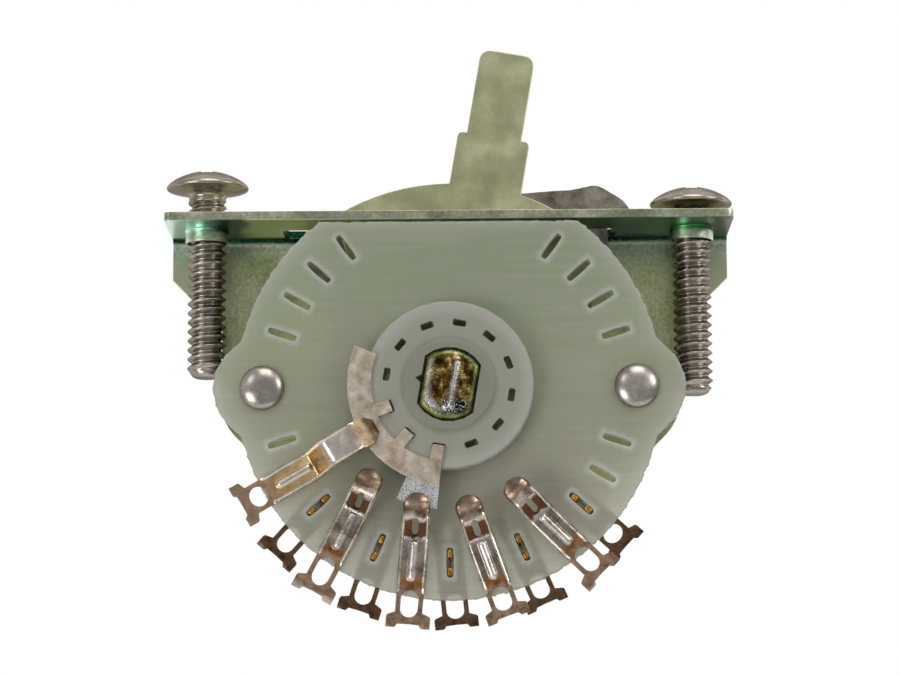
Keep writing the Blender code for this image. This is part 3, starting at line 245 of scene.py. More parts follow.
colour = node(tree, "Mix", {0: inner, 6: rest, 7: shade}, data_type="RGBA").outputs[2]
finish_off(tree, shader, colour, clouds, speckle, (0.26, 0.42), 0.006 * MM)
bracket = softened("mounting_bracket", chromate, "frame", 0.06 * MM)

# The two collars are drawn thin: each point under the plate keeps its bearing from the screw's axis,
# and its distance from it is cut to a share, which is least at the collar's outside.
COLLAR_REACH = 3.2 * MM
co = positions_of(bracket.data)
for side in (-1, 1):
    off = co[:, :2] - np.array([side * SCREW_ASIDE, 0.0])
    distance = np.hypot(off[:, 0], off[:, 1])
    collar = (distance < COLLAR_REACH) & (co[:, 2] < -0.7 * MM)
    share = np.interp(distance, [1.5 * MM, 1.82 * MM, 2.4 * MM], [1.0, 0.93, 0.78])
    co[:, :2] += off * (np.where(collar, share, 1.0) - 1)[:, None]
bracket.data.vertices.foreach_set("co", co.ravel())
bracket.data.update()

# The lever plate: 1.5 mm steel blanked in one stroke, with its sheared edges left square, in the same
# chromate as the bracket, which took a khaki tone here.


def mottled_metal(name, stops, stain, grain, gloss, relief):
    """A metal whose colour drifts through the stops over stain metres, with a speckle of grain metres,
    which stands for crystals and scratches that are finer than a pixel."""
    made, tree, shader, at = material(name, 1.0)
    broad = node(tree, "TexNoise", {"Vector": at, "Scale": 1 / stain, "Detail": 4.0}).outputs["Fac"]
    fine = node(tree, "TexNoise", {"Vector": at, "Scale": 1 / grain, "Detail": 2.0}).outputs["Fac"]
    both = node(tree, "Math", {0: fine, 1: 0.35, 2: broad}, operation="MULTIPLY_ADD").outputs[0]
    level = node(tree, "MapRange", {0: both, "From Min": 0.42, "From Max": 0.95}).outputs[0]
    colour = node(tree, "ValToRGB", {0: level}, stops=stops).outputs[0]
    finish_off(tree, shader, colour, broad, fine, gloss, relief)
    return made


# Chromate over a blanked face gives an even, satin khaki with faint clouds and no sharp reflections.
khaki = mottled_metal(
    "yellow_chromated_zinc_on_blanked_steel",
    [(0.0, "#aeb189"), (0.5, "#c2c49c"), (1.0, "#d8d8b5")],
    2.5 * MM, 0.16 * MM, (0.36, 0.48), 0.006 * MM,
)
softened("lever_plate", khaki, "lever", 0.14 * MM)

# The index spring: a leaf of hardened spring steel behind the lever, dull from its heat treatment,
# riveted to the bracket's vertical plate. The oil that it was quenched in leaves a smudged brown grey.
leaf_steel = mottled_metal(
    "oiled_heat_treated_spring_steel",
    [(0.0, "#5e5850"), (0.5, "#8f877c"), (1.0, "#b3aa9e")],
    1.2 * MM, 0.12 * MM, (0.45, 0.6), 0.006 * MM,
)
leaf = softened("index_spring", leaf_steel, "frame", 0.08 * MM)
# Above the bracket its corners are rounded: each edge that runs straight through the sheet gets a
# wide bevel, which comes before the small rounding of all its edges.
co = positions_of(leaf.data)
ends = np.empty(len(leaf.data.edges) * 2, np.int32)
leaf.data.edges.foreach_get("vertices", ends)
first, last = co[ends[::2]], co[ends[1::2]]
through = (np.hypot(*(first - last)[:, [0, 2]].T) < 0.02 * MM) & (first[:, 2] > 2.5 * MM)
weights = leaf.data.attributes.new("bevel_weight_edge", "FLOAT", "EDGE")
weights.data.foreach_set("value", through.astype(np.float32))
corners = leaf.modifiers.new("corners", "BEVEL")
corners.limit_method = "WEIGHT"
corners.width = 0.7 * MM
corners.segments = 3
leaf.modifiers.move(2, 0)

# The mounting screws: number 6 by 32, cold headed with a low dome over a cone, a cross recess punched
# in it, the thread rolled, and the whole nickel plated.
PITCH = 25.4 / 32 * MM
CREST = 1.63 * MM
ROOT = 1.24 * MM
HEAD_RADIUS = 3.4 * MM


def skin(name, points, around=False, keep=None):
    """A mesh over a grid of points, rows by columns by xyz, with a face between each four neighbours.

    Around closes each row on itself, and keep says which faces are made. Points that meet are merged,
    and the faces turned outwards."""
    rows, columns = points.shape[:2]
    number = np.arange(rows * columns).reshape(rows, columns)
    if around:
        number = np.hstack([number, number[:, :1]])
    corners = np.stack([number[:-1, :-1], number[:-1, 1:], number[1:, 1:], number[1:, :-1]], axis=-1)
    faces = corners.reshape(-1, 4) if keep is None else corners[keep]
    used, faces = np.unique(faces, return_inverse=True)
    mesh = bpy.data.meshes.new(name)
    mesh.from_pydata(points.reshape(-1, 3)[used].tolist(), [], faces.reshape(-1, 4).tolist())
    merged = bmesh.new()
    merged.from_mesh(mesh)
    bmesh.ops.remove_doubles(merged, verts=merged.verts, dist=5e-7)
    bmesh.ops.recalc_face_normals(merged, faces=merged.faces)
    merged.to_mesh(mesh)
    merged.free()
    mesh.shade_smooth()
    return mesh


def screw(head_underside):
    """A screw along -Z: its radius at height z and angle a follows the outline below the head, with
    the thread's sawtooth of height over one pitch, which climbs as the angle turns, and the cross
    recess sinks the dome where either of two crossed bars lies over the point."""
    tip = np.array([(0.0, -15.9), (0.9, -15.9), (1.2, -15.75)]) * MM
    shank = np.linspace(-15.3, -0.62, 340) * MM
    under_head = np.array([
        (1.55, -0.4), (1.7, -0.12), (1.95, 0.0), (3.3, 0.3), (3.45, 0.38), (3.5, 0.48), (3.48, 0.58),
        (3.4, 0.68),
    ]) * MM
    inward = np.cos(np.linspace(0.0, 1.0, 44) * np.pi / 2)
    dome = np.stack([HEAD_RADIUS * inward, (0.68 + 1.3 * (1 - inward**1.8) ** 0.8) * MM], 1)
    path = np.vstack([tip, np.stack([np.full_like(shank, CREST), shank], 1), under_head, dome[1:]])
    angle = np.linspace(0, 2 * np.pi, 56, endpoint=False)
    r = np.repeat(path[:, :1], len(angle), axis=1)
    z = np.repeat(path[:, 1:], len(angle), axis=1)
    phase = (z / PITCH - angle / (2 * np.pi)) % 1.0
    valley = np.clip((np.abs(2 * phase - 1) - 0.12) / 0.76, 0, 1)
    run_in = np.clip((z + 15.75 * MM) / (0.7 * MM), 0, 1)
    run_out = np.clip((-0.55 * MM - z) / (0.5 * MM), 0, 1)
    threaded = (z > -15.8 * MM) & (z < -0.5 * MM)
    cut_down = np.minimum(r, CREST) - (CREST - ROOT) * valley * (run_in * run_out)
    r = np.where(threaded, cut_down, r)
    x, y = r * np.cos(angle), r * np.sin(angle)
    off_bar = np.minimum(np.abs(x), np.abs(y)) / (0.42 * MM)
    reach = np.maximum(np.abs(x), np.abs(y)) / (1.75 * MM)
    cut = np.clip((1.25 - off_bar) / 0.35, 0, 1) * np.clip((1.1 - reach) / 0.2, 0, 1)
    on_dome = z > 0.9 * MM
    z = z - np.where(on_dome, 1.2 * MM * cut * np.clip(1.3 - reach, 0, 1), 0.0)
    return np.stack([x, y, z + head_underside], axis=2)


# Nickel over headed and rolled steel gives a warm grey with soft, bright reflections.
nickel = mottled_metal(
    "bright_nickel_plate_on_rolled_steel",
    [(0.0, "#968e86"), (0.5, "#b2aaa1"), (1.0, "#d0c9c2")],
    1.6 * MM, 0.2 * MM, (0.22, 0.34), 0.003 * MM,
)
nickel.node_tree.nodes["Principled BSDF"].inputs["Specular Tint"].default_value = linear("#9c968f")
for hand, side, rise in (("left", -1, 2.45 * MM), ("right", 1, 0.8 * MM)):
    points = screw(rise) + np.array([side * SCREW_ASIDE, 0.0, 0.0])
    mesh = skin(f"screw_{hand}", points, around=True)
    show(f"screw_{hand}_threaded", mesh, nickel, "frame", f"screw_{hand}")

# The stator wafer: 1.3 mm glass-epoxy sheet, blanked and pierced in one stroke. The stroke leaves its
# edge a little ragged, and crazes the sheet white round each slot.
WAFER_FRONT = -5.0 * MM
WAFER_BACK = -3.7 * MM
RIVET_ASIDE = 15.6 * MM
EAR_RADIUS = 4.08 * MM
DISC_RADIUS = 17.73 * MM
FLAT_TOP = 14.05 * MM
SLOT_MIDDLE = 14.65 * MM
# The slots stand every 12 degrees, and are named by their steps from straight down.
SLOT_STEP = 12.0
SLOTS = (*range(-12, -8), *range(-6, 7), *range(9, 13))


def wafer_edge(angle):
    """The wafer's edge as a distance from the shaft at an angle from straight down: the disc, joined
    smoothly to the ear's circle, and cut off by the flat top."""
    off = RIVET_ASIDE * np.abs(np.cos(angle))
    ear = RIVET_ASIDE * np.abs(np.sin(angle)) + np.sqrt(np.maximum(EAR_RADIUS**2 - off**2, 0))
    ear = np.where(off < EAR_RADIUS, ear, 14.0 * MM)
    soft = 0.35 * MM
    rounded = soft * np.logaddexp(DISC_RADIUS / soft, ear / soft)
    top = FLAT_TOP / np.maximum(-np.cos(angle), 0.3)
    return np.minimum(rounded, np.where(np.cos(angle) < 0, top, 1.0))


def ragged(angle, seed, size):
    """A sum of sines round the edge with random heights and phases, mostly smaller than size and
    about twice that at its largest."""
    draw = np.random.default_rng(seed)
    waves = np.arange(40, 260, 7)
    phases = draw.uniform(0, 2 * np.pi, len(waves))
    heights = draw.normal(0, 1, len(waves)) / np.sqrt(len(waves))
    return size * np.sum(heights * np.sin(angle[..., None] * waves + phases), axis=-1)


def wafer():
    """Thirty sectors of columns, with each slot as an opening between two columns of its sector. Rows
    run from the hub's hole to 16.22 mm, those beyond 13 mm are pressed together under the flat top,
    and five more follow to the ragged edge. Within a sector the columns stand at these degrees, of
    which -1 and 1 are moved to the slot's sides."""
    offsets = np.array([-6, -5.2, -4.4, -3.7, -3.0, -2.4, -1.9, -1, 0, 1, 1.9, 2.4, 3.0, 3.7, 4.4, 5.2])
    rows = np.array([
        6.47, 6.8, 7.4, 8.4, 9.6, 10.6, 11.4, 12.0, 12.4, 12.7, 12.95, 13.15, 13.3, 13.425, 13.469,
        13.575, 13.9, 14.3, 14.65, 15.0, 15.4, 15.725, 15.831, 15.875, 16.0, 16.12, 16.22,
    ]) * MM
    sector = np.arange(-15, 15)
    centre = np.repeat(sector * SLOT_STEP, len(offsets))
    offset = np.tile(offsets, len(sector))
    opened = np.isin(np.repeat(sector, len(offsets)), SLOTS)
    width_at = [6.5, 9.0, 13.0, 13.425, 13.469, 13.575, 14.3, 15.0, 15.725, 15.831, 15.875, 16.22]
    widths = [0.15, 0.2, 0.25, 0.13, 0.19, 0.25, 0.3, 0.3, 0.25, 0.19, 0.13, 0.25]
    half = np.interp(rows, np.array(width_at) * MM, np.array(widths) * MM)
    r = np.repeat(rows[:, None], len(centre), axis=1)
    reach = np.degrees(np.arcsin(half / rows))[:, None]
    turn = centre + np.where(np.abs(offset) == 1, np.sign(offset) * reach, offset)
    angle = np.radians(turn)
    squeeze = np.clip((wafer_edge(angle) - 13 * MM) / (3.22 * MM), 0, 1)
    r = np.where(r > 13 * MM, 13 * MM + (r - 13 * MM) * squeeze, r)
    last_angle = angle[-1:]
    last = wafer_edge(last_angle) + ragged(last_angle, 3, 0.05 * MM)
    out = np.array([0.25, 0.5, 0.75, 0.92, 1.0])[:, None]
    r = np.vstack([r, r[-1:] + (np.maximum(last, r[-1:]) - r[-1:]) * out])
    angle = np.vstack([angle, np.repeat(last_angle, len(out), axis=0)])
    x, z = r * np.sin(angle), -SHAFT_DROP - r * np.cos(angle)
    points = np.stack([x, np.full_like(x, WAFER_FRONT), z], axis=2)
    keep = np.ones((len(r) - 1, len(centre)), bool)
    inside = (rows[:-1] >= 13.42 * MM) & (rows[1:] <= 15.88 * MM)
    hole = opened & ((offset == -1) | (offset == 0))
    keep[: len(inside)][np.ix_(inside, hole)] = False
    return points, keep


def store(mesh, name, values):
    """Keeps one value for each vertex as an attribute that a material can read."""
    mesh.attributes.new(name, "FLOAT", "POINT").data.foreach_set("value", values.astype(np.float32))


# Crazing falls from 1 at a slot, taken as 2.45 mm long and 0.56 mm wide, to 0 at 0.75 mm from it.
# Border falls off with the distance from the wafer's edge.
points, keep = wafer()
mesh = skin("stator_wafer", points, around=True, keep=keep)
co = positions_of(mesh)
down, side = -(co[:, 2] + SHAFT_DROP), co[:, 0]
distance, angle = np.hypot(down, side), np.arctan2(side, down)
near = np.full(len(co), 1.0)
for step in SLOTS:
    tilt = angle - math.radians(SLOT_STEP * step)
    past_end = np.abs(distance * np.cos(tilt) - SLOT_MIDDLE) - 1.225 * MM
    past_side = np.abs(distance * np.sin(tilt)) - 0.28 * MM
    gap = np.hypot(np.maximum(past_end, 0), np.maximum(past_side, 0))
    near = np.where(np.cos(tilt) > 0, np.minimum(near, gap), near)
store(mesh, "crazing", np.clip(1 - near / (0.75 * MM), 0, 1))
store(mesh, "border", np.exp(-(wafer_edge(angle) - distance) / (0.5 * MM)))

# Glass-epoxy sheet: grey green and a little translucent, with paler threads of its glass cloth 0.42 mm
# apart, warmer low down, and white where the press has broken the resin off the glass.
epoxy, tree, shader, at = material("glass_epoxy_sheet_blanked_and_pierced", 0.0)
height = node(tree, "SeparateXYZ", {0: at}).outputs[2]
across = node(tree, "Mapping", {0: at, "Scale": (0.06, 1.0, 1.0)}).outputs[0]
upright = node(tree, "Mapping", {0: at, "Scale": (1.0, 1.0, 0.08)}).outputs[0]
thread = {"Scale": 1 / (0.42 * MM), "Detail": 2.0}
weft = node(tree, "TexNoise", {"Vector": across, **thread}).outputs["Fac"]
warp = node(tree, "TexNoise", {"Vector": upright, **thread}).outputs["Fac"]
cloth = node(tree, "Math", {0: warp, 1: 0.35, 2: weft}, operation="MULTIPLY_ADD").outputs[0]
clouds = node(tree, "TexNoise", {"Vector": at, "Scale": 1 / (6 * MM), "Detail": 3.0}).outputs["Fac"]
drift = node(tree, "MapRange", {0: height, "From Min": -32 * MM, "From Max": -1 * MM}).outputs[0]
mixed = node(tree, "Math", {0: clouds, 1: 0.5, 2: drift}, operation="MULTIPLY_ADD").outputs[0]
resin = node(tree, "ValToRGB", {0: mixed}, stops=[
    (0.2, "#b9b5a5"), (0.6, "#bfbda7"), (0.95, "#bdc3a4"), (1.0, "#b8c3a1"),
]).outputs[0]
threads = node(tree, "MapRange", {0: cloth, "From Min": 0.5, "From Max": 0.85, "To Max": 0.45}).outputs[0]
pale = node(tree, "Mix", {0: threads, 6: resin, 7: linear("#cdd0c0")}, data_type="RGBA").outputs[2]
crazing = node(tree, "Attribute", attribute_name="crazing").outputs["Fac"]
border = node(tree, "Attribute", attribute_name="border").outputs["Fac"]
patches = node(tree, "TexNoise", {"Vector": at, "Scale": 1 / (0.45 * MM), "Detail": 3.0}).outputs["Fac"]
broken = node(tree, "Math", {0: patches, 1: 0.7, 2: crazing}, operation="MULTIPLY_ADD").outputs[0]
faded = {"From Min": 0.6, "From Max": 1.35, "To Max": 0.85}
halo = node(tree, "MapRange", {0: broken, **faded}, interpolation_type="SMOOTHSTEP").outputs[0]
spread = node(tree, "MapRange", {0: patches, "From Min": 0.3, "From Max": 0.7, "To Min": 0.6}).outputs[0]
rough = node(tree, "Math", {0: border, 1: spread}, operation="MULTIPLY").outputs[0]
higher = node(tree, "MapRange", {0: drift, "To Min": 0.25, "To Max": 1.1}).outputs[0]
edge = node(tree, "Math", {0: rough, 1: higher}, operation="MULTIPLY").outputs[0]
white = node(tree, "Math", {0: halo, 1: edge}, operation="MAXIMUM").outputs[0]
colour = node(tree, "Mix", {0: white, 6: pale, 7: linear("#e6e8e0")}, data_type="RGBA").outputs[2]
finish_off(tree, shader, colour, clouds, cloth, (0.42, 0.5), 0.006 * MM)
shader.inputs["Transmission Weight"].default_value = 0.55
piece = show("wafer_sheet", mesh, epoxy, "frame", "stator_wafer")
sheet = piece.modifiers.new("sheet", "SOLIDIFY")
sheet.thickness = WAFER_BACK - WAFER_FRONT
sheet.offset = -1.0
bevel(piece, 0.06 * MM, 50.0)
piece.modifiers["rounding"].use_clamp_overlap = False

# The two rivets through the wafer's ears: nickel-plated steel, with domed heads set against the sheet
# and their upset ends on the bracket's back. Two small ones like them hold the index spring.
RIVET_HEAD = 1.85 * MM


def rivet(side):
    """A turned rivet along Y: a circle of points round each row of its outline, whose front head is
    part of a ball and whose back end is a low cone with a rounded rim."""
    bend = np.linspace(0, np.pi / 2, 16)
    dome = np.stack([RIVET_HEAD * np.sin(bend), (-5.05 - 0.85 * np.cos(bend)) * MM], axis=1)
    back = np.array([
        (1.85, -4.99), (1.1, -4.98), (1.1, 5.02), (1.75, 5.03), (1.85, 5.15), (1.8, 5.35), (1.55, 5.6),
        (1.1, 5.75), (0.55, 5.82), (0.0, 5.84),
    ]) * MM
    outline = np.vstack([dome, back])
    angle = np.linspace(0, 2 * np.pi, 48, endpoint=False)
    x = outline[:, :1] * np.cos(angle) + side * RIVET_ASIDE
    z = outline[:, :1] * np.sin(angle) - SHAFT_DROP
    return np.stack([x, np.repeat(outline[:, 1:], len(angle), axis=1), z], axis=2)


for hand, side in (("left", -1), ("right", 1)):
    mesh = skin(f"rivet_{hand}", rivet(side), around=True)
    show(f"rivet_{hand}_domed", mesh, nickel, "frame", f"rivet_{hand}")
    softened(f"index_rivet_{hand}", nickel, "frame", 0.05 * MM)

# The two spacer sleeves: bright drawn steel tube, cut to length and slipped over the rivets to keep
# the wafer off the bracket. Drawing leaves a neutral grey that mirrors its surroundings softly.
drawn = mottled_metal(
    "bright_drawn_steel",
    [(0.0, "#86857f"), (0.5, "#a3a29c"), (1.0, "#bcbbb4")],
    1.5 * MM, 0.15 * MM, (0.25, 0.35), 0.003 * MM,
)
for hand in ("left", "right"):
    softened(f"spacer_{hand}", drawn, "frame", 0.05 * MM)

# The solder lugs: 0.35 mm brass strip, tinned, pressed into a sprung tip, a rib and a T-shaped foot
# with an eyelet, and stapled through the wafer's slots by two prongs of their own.
STRIP = 0.35 * MM
# Places along a lug are in millimetres from the shaft's axis, and a prong's depth is in millimetres.
STRIP_END = 20.5
PRONG_PLACES = (13.9, 15.4)
PRONG_DEPTH = 1.28


def bent(u, bends):
    """The strip's height at each distance u: straight between the bends, and averaged over nearly
    half a millimetre so that each bend is round."""
    bends = np.array(bends) * MM
    nearby = u[..., None] + np.linspace(-0.22, 0.22, 9) * MM
    return np.interp(nearby, bends[:, 0], bends[:, 1]).mean(axis=-1)


def smooth(value):
    """From 0 to 1 as the value goes from 0 to 1, level at both ends: its square times three less
    twice itself."""
    value = np.clip(value, 0, 1)
    return value * value * (3 - 2 * value)


def opening(u, start, end, half):
    """Half the width of a hole at each distance u: a circle's near both ends, and half between."""
    from_end = np.minimum(u - start, end - u)
    inside = np.clip(from_end, 0, half)
    return np.where(from_end > 0, np.sqrt(half**2 - (half - inside) ** 2), 0.0)


def on_rib(u, v):
    """From 0 beside the rib to 1 along its middle, at a distance u and sideways v."""
    run = smooth((u - 13.15 * MM) / (0.35 * MM)) * smooth((16.55 * MM - u) / (0.35 * MM))
    return run * smooth(1 - np.abs(v) / (0.36 * MM))


def lug_strip(common):
    """A lug as rows across the strip at distances u from the shaft. In each row the points run from
    the strip's hole, or its middle, out to its edge on either side. The height is that of the bends,
    with the rib raised along the middle, and the spoon's sides and the strip's edges turned up."""
    if common:
        edges = [(7.0, 0.55), (7.2, 0.8), (7.75, 1.2), (19.2, 1.2)]
        bends = [(7.0, 2.125), (7.6, 1.975), (9.0, 2.575), (11.45, 2.475), (12.95, 0.225)]
        start, holes = 7.0, [(17.6, 19.3, 0.85)]
    else:
        nose = np.linspace(0, np.pi / 2, 12)
        curve = zip(9.35 + 1.045 * (1 - np.cos(nose)), 1.045 * np.sin(nose))
        edges = [*curve, (12.95, 1.125), (19.2, 1.125)]
        bends = [(9.35, 2.225), (10.1, 1.975), (11.25, 2.275), (12.95, 0.675), (16.55, 0.225)]
        start, holes = 9.35, [(17.3, 19.6, 0.725), (11.4, 12.8, 0.275)]
    edges = np.array([*edges, (19.45, 1.75), (19.6, 1.825), (STRIP_END, 1.825)]) * MM
    fine = [start + 0.004, start + 0.03, start + 0.08, start + 0.16, 20.17, 20.2, 20.35]
    for first, last, half in holes:
        near_end = half * np.array([0.0, 0.02, 0.1, 0.3])
        fine += [*(first + near_end), *(last - near_end)]
    even = np.arange(start, STRIP_END, 0.12)
    u = np.unique(np.round(np.concatenate([even, fine, [19.2, 19.45, STRIP_END]]), 4)) * MM
    hole = sum(opening(u, *(np.array(h) * MM)) for h in holes)
    hole = hole + np.interp(u, np.array([20.17, 20.2, STRIP_END]) * MM, np.array([0, 0.875, 1.075]) * MM)
    half = np.interp(u, edges[:, 0], edges[:, 1])
    share = np.array([0, 0.07, 0.15, 0.24, 0.34, 0.5, 0.68, 0.8, 0.85, 0.9, 0.95, 1.0])
    v = hole[:, None] + (half - hole)[:, None] * share
    v = np.stack([-v[:, ::-1], v])
    length = np.broadcast_to(u[:, None], v.shape)
    spoon = smooth((11.2 * MM - length) / (0.7 * MM)) * smooth((length - 9.3 * MM) / (0.5 * MM))
    dish = 0.0 if common else 0.3 * MM * spoon * (v / (1.1 * MM)) ** 2
    to_edge = (np.abs(v) - hole[:, None]) / np.maximum(half - hole, 1e-6)[:, None]
    lip = smooth((to_edge - 0.8) / 0.2) * smooth((17.6 * MM - length) / (0.6 * MM))
    lip = lip * smooth((length - (start + 1.5) * MM) / (0.8 * MM))
    height = bent(length, bends) + 0.3 * MM * on_rib(length, v) + dish + 0.2 * MM * lip
    return np.stack([length, v, height], axis=3)


def prong(u, depth):
    """A staple's end at distance u, through the wafer to depth: rings of points on a rounded
    rectangle, the last ones smaller and lower, so that the end is domed."""
    angle = np.linspace(0, 2 * np.pi, 20, endpoint=False)
    long_way, short_way = (np.sign(wave) * np.abs(wave) ** 0.55 for wave in (np.cos(angle), np.sin(angle)))
    size = np.array([1, 1, 0.94, 0.8, 0.5, 0.0])[:, None]
    level = np.array([0.1, -depth + 0.16, -depth + 0.08, -depth + 0.03, -depth, -depth])[:, None] * MM
    along = u * MM + 0.35 * MM * size * long_way
    across = 0.22 * MM * size * short_way
    return np.stack([along, across, level + 0 * along], axis=2)


def stand_on_wafer(points, step, front, lean=0.0, foot=0.0):
    """Turns lug points (distance from the shaft, sideways, height off the wafer) to the lug's slot,
    on the wafer's front or back face. First the foot is drawn out in proportion beyond 16.5 mm, and
    the lean in degrees turns the strip about the middle of its slot."""
    angle, about = math.radians(SLOT_STEP * step), math.radians(lean)
    longer = foot * MM * np.clip((points[..., 0] / MM - 16.5) / 4.0, 0, None)
    u, height = points[..., 0] + longer - SLOT_MIDDLE, points[..., 2]
    v = points[..., 1] * (1 if front else -1)
    u, v = u * math.cos(about) - v * math.sin(about) + SLOT_MIDDLE, v * math.cos(about) + u * math.sin(about)
    x = u * math.sin(angle) + v * math.cos(angle)
    z = -SHAFT_DROP - u * math.cos(angle) + v * math.sin(angle)
    return np.stack([x, WAFER_FRONT - height if front else WAFER_BACK + height, z], axis=-1)


def along_lug(points, step, lean):
    """The way back from the wafer: how far out and sideways each point stands on its leaning lug."""
    angle, about = math.radians(SLOT_STEP * step), math.radians(lean)
    x, z = points[:, 0], points[:, 2] + SHAFT_DROP
    out = x * math.sin(angle) - z * math.cos(angle) - SLOT_MIDDLE
    across = x * math.cos(angle) + z * math.sin(angle)
    u = out * math.cos(about) + across * math.sin(about) + SLOT_MIDDLE
    return u, across * math.cos(about) - out * math.sin(about)


def tinned(name, start, end, stops, rib, dull="#a3978b"):
    """Tinned brass strip, coloured by the millimetres along it: silver where the tin lies thick,
    gold or brown where it was bent and heated, with painted highlights and painted shade among the
    stops, and white on the rib and the turned-up edges as a painted highlight, all under mottling
    and a fine grain, which is drawn 0.14 mm across so that it shows."""
    made, tree, shader, at = material(name, 1.0)
    along = node(tree, "Attribute", attribute_name="along").outputs["Fac"]
    raised = node(tree, "Attribute", attribute_name="rib").outputs["Fac"]
    clouds = node(tree, "TexNoise", {"Vector": at, "Scale": 1 / (0.9 * MM), "Detail": 5.0}).outputs["Fac"]
    grain = node(tree, "TexNoise", {"Vector": at, "Scale": 1 / (0.14 * MM), "Detail": 2.0}).outputs["Fac"]
    moved = node(tree, "Math", {0: clouds, 1: 1.1, 2: along}, operation="MULTIPLY_ADD").outputs[0]
    place = node(tree, "MapRange", {0: moved, "From Min": start + 0.55, "From Max": end + 0.55}).outputs[0]
    zones = node(tree, "ValToRGB", {0: place}, stops=stops).outputs[0]
    ridge = node(tree, "Mix", {0: raised, 6: zones, 7: linear(rib)}, data_type="RGBA").outputs[2]
    both = node(tree, "Math", {0: grain, 1: 0.6, 2: clouds}, operation="MULTIPLY_ADD").outputs[0]
    level = node(tree, "MapRange", {0: both, "From Min": 0.55, "From Max": 1.0}).outputs[0]
    tone = node(tree, "ValToRGB", {0: level}, stops=[(0.0, dull), (0.5, "#e4dcd3"), (1.0, "#fffaf4")])
    stained = {0: 1.0, 6: ridge, 7: tone.outputs[0]}
    colour = node(tree, "Mix", stained, data_type="RGBA", blend_type="MULTIPLY").outputs[2]
    finish_off(tree, shader, colour, clouds, grain, (0.2, 0.38), 0.008 * MM)
    return made


# Throw lugs: the white bands at the spoon's crest and at the lower bend, and the whiter foot's end, are
# painted highlights; the darker brown on the legs, which slope down to the wafer, is partly the bent strip's
# brown and partly painted shade.
throw_tin = tinned("hot_tinned_brass_throw_lug", 9.0, 21.0, [
    (0.0, "#957d68"), (0.1, "#b9a797"), (0.16, "#937c68"), (0.2, "#fff6ee"), (0.225, "#6c4f38"),
    (0.31, "#6a4e3a"), (0.33, "#ffffff"), (0.36, "#bdb8b3"), (0.58, "#b5aaa0"), (0.645, "#b98548"),
    (0.69, "#cdb197"), (0.93, "#c6aa92"), (0.965, "#fff4e8"),
], "#ffffff")
# Common lug: the white over the crest is a painted highlight on the thick tin's silver, and so is the whiter
# foot's end; the dark brown at the tip's end is partly painted shade.
common_tin = tinned("hot_tinned_brass_common_lug", 7.0, 21.0, [
    (0.0, "#6f5a40"), (0.05, "#b09a78"), (0.12, "#d8c9b2"), (0.19, "#fffaf4"), (0.31, "#ffffff"),
    (0.345, "#c4ae8c"), (0.42, "#a08a62"), (0.45, "#ffe9b4"), (0.66, "#e2c48c"), (0.76, "#cfb79c"),
    (0.94, "#c8b098"), (0.97, "#fff4e8"),
], "#ffffff", "#dcd5ce")
# Back lugs: the near-white stretch from 13.8 to 15.7 mm, under the wafer's slots, is painted light on a
# strip that lies in shade there, and the whiter foot's end is a painted highlight.
back_tin = tinned("hot_tinned_brass_browned", 9.0, 21.0, [
    (0.0, "#8a7460"), (0.36, "#c9b8a6"), (0.4, "#fffaf2"), (0.56, "#fffaf2"), (0.62, "#c9b8a6"),
    (0.74, "#977b63"), (0.93, "#80644f"), (0.965, "#e6d0bb"),
], "#fffdf8", "#746b63")
# The staples' ends were sheared after tinning, so they show bare, golden brass.
cut_brass = mottled_metal(
    "sheared_brass_end",
    [(0.0, "#8a5c24"), (0.5, "#b98638"), (1.0, "#dcb46c")],
    0.4 * MM, 0.1 * MM, (0.3, 0.45), 0.004 * MM,
)
# Each lug: its name, the step of its slot, how far it leans about its staples in degrees, how much
# longer its foot is in millimetres, and its look. They are given one by one, and no two stand alike.
places = [
    ("front_common_lug", -5, 0.0, -0.4, common_tin), ("front_throw_lug_1", -3, 8.0, 0.3, throw_tin),
    ("front_throw_lug_2", -1, 7.0, -0.1, throw_tin), ("front_throw_lug_3", 1, 8.0, -0.5, throw_tin),
    ("front_throw_lug_4", 3, 10.0, -0.1, throw_tin), ("back_throw_lug_1", -4, 6.0, -0.1, back_tin),
    ("back_throw_lug_2", -2, 6.0, -0.2, back_tin), ("back_throw_lug_3", 0, 6.0, -0.5, back_tin),
    ("back_throw_lug_4", 2, 0.0, -0.6, back_tin), ("back_common_lug", 4, 0.0, -0.5, back_tin),
]
for name, step, lean, foot, look in places:
    common, front = "common" in name, "front" in name
    both = bmesh.new()
    for half in lug_strip(common):
        both.from_mesh(skin(name, stand_on_wafer(half, step, front, lean, foot)))
    bmesh.ops.remove_doubles(both, verts=both.verts, dist=5e-7)
    bmesh.ops.recalc_face_normals(both, faces=both.faces)
    mesh = bpy.data.meshes.new(name)
    both.to_mesh(mesh)
    both.free()
    mesh.shade_smooth()
    u, v = along_lug(positions_of(mesh), step, lean)
    store(mesh, "along", u / MM)
    # The rib and the strip's turned-up edges take the rib colour: painted highlights where they catch light.
    edge_highlight = smooth((np.abs(v) - 0.94 * MM) / (0.1 * MM)) * (u < 17.4 * MM) * (u > 11.2 * MM)
    store(mesh, "rib", np.maximum(on_rib(u, v), edge_highlight))
    piece = show(name + "_strip", mesh, look, "frame", name)
    thick = piece.modifiers.new("thick", "SOLIDIFY")
    thick.thickness = STRIP
    thick.offset = 0.0
    bevel(piece, 0.06 * MM, 50.0)
    for number, place in enumerate(PRONG_PLACES, 1):
        points = stand_on_wafer(prong(place, PRONG_DEPTH), step, front)
        mesh = skin(f"{name}_prong_{number}", points, around=True)
        show(f"{name}_prong_{number}", mesh, cut_brass, "frame", name)

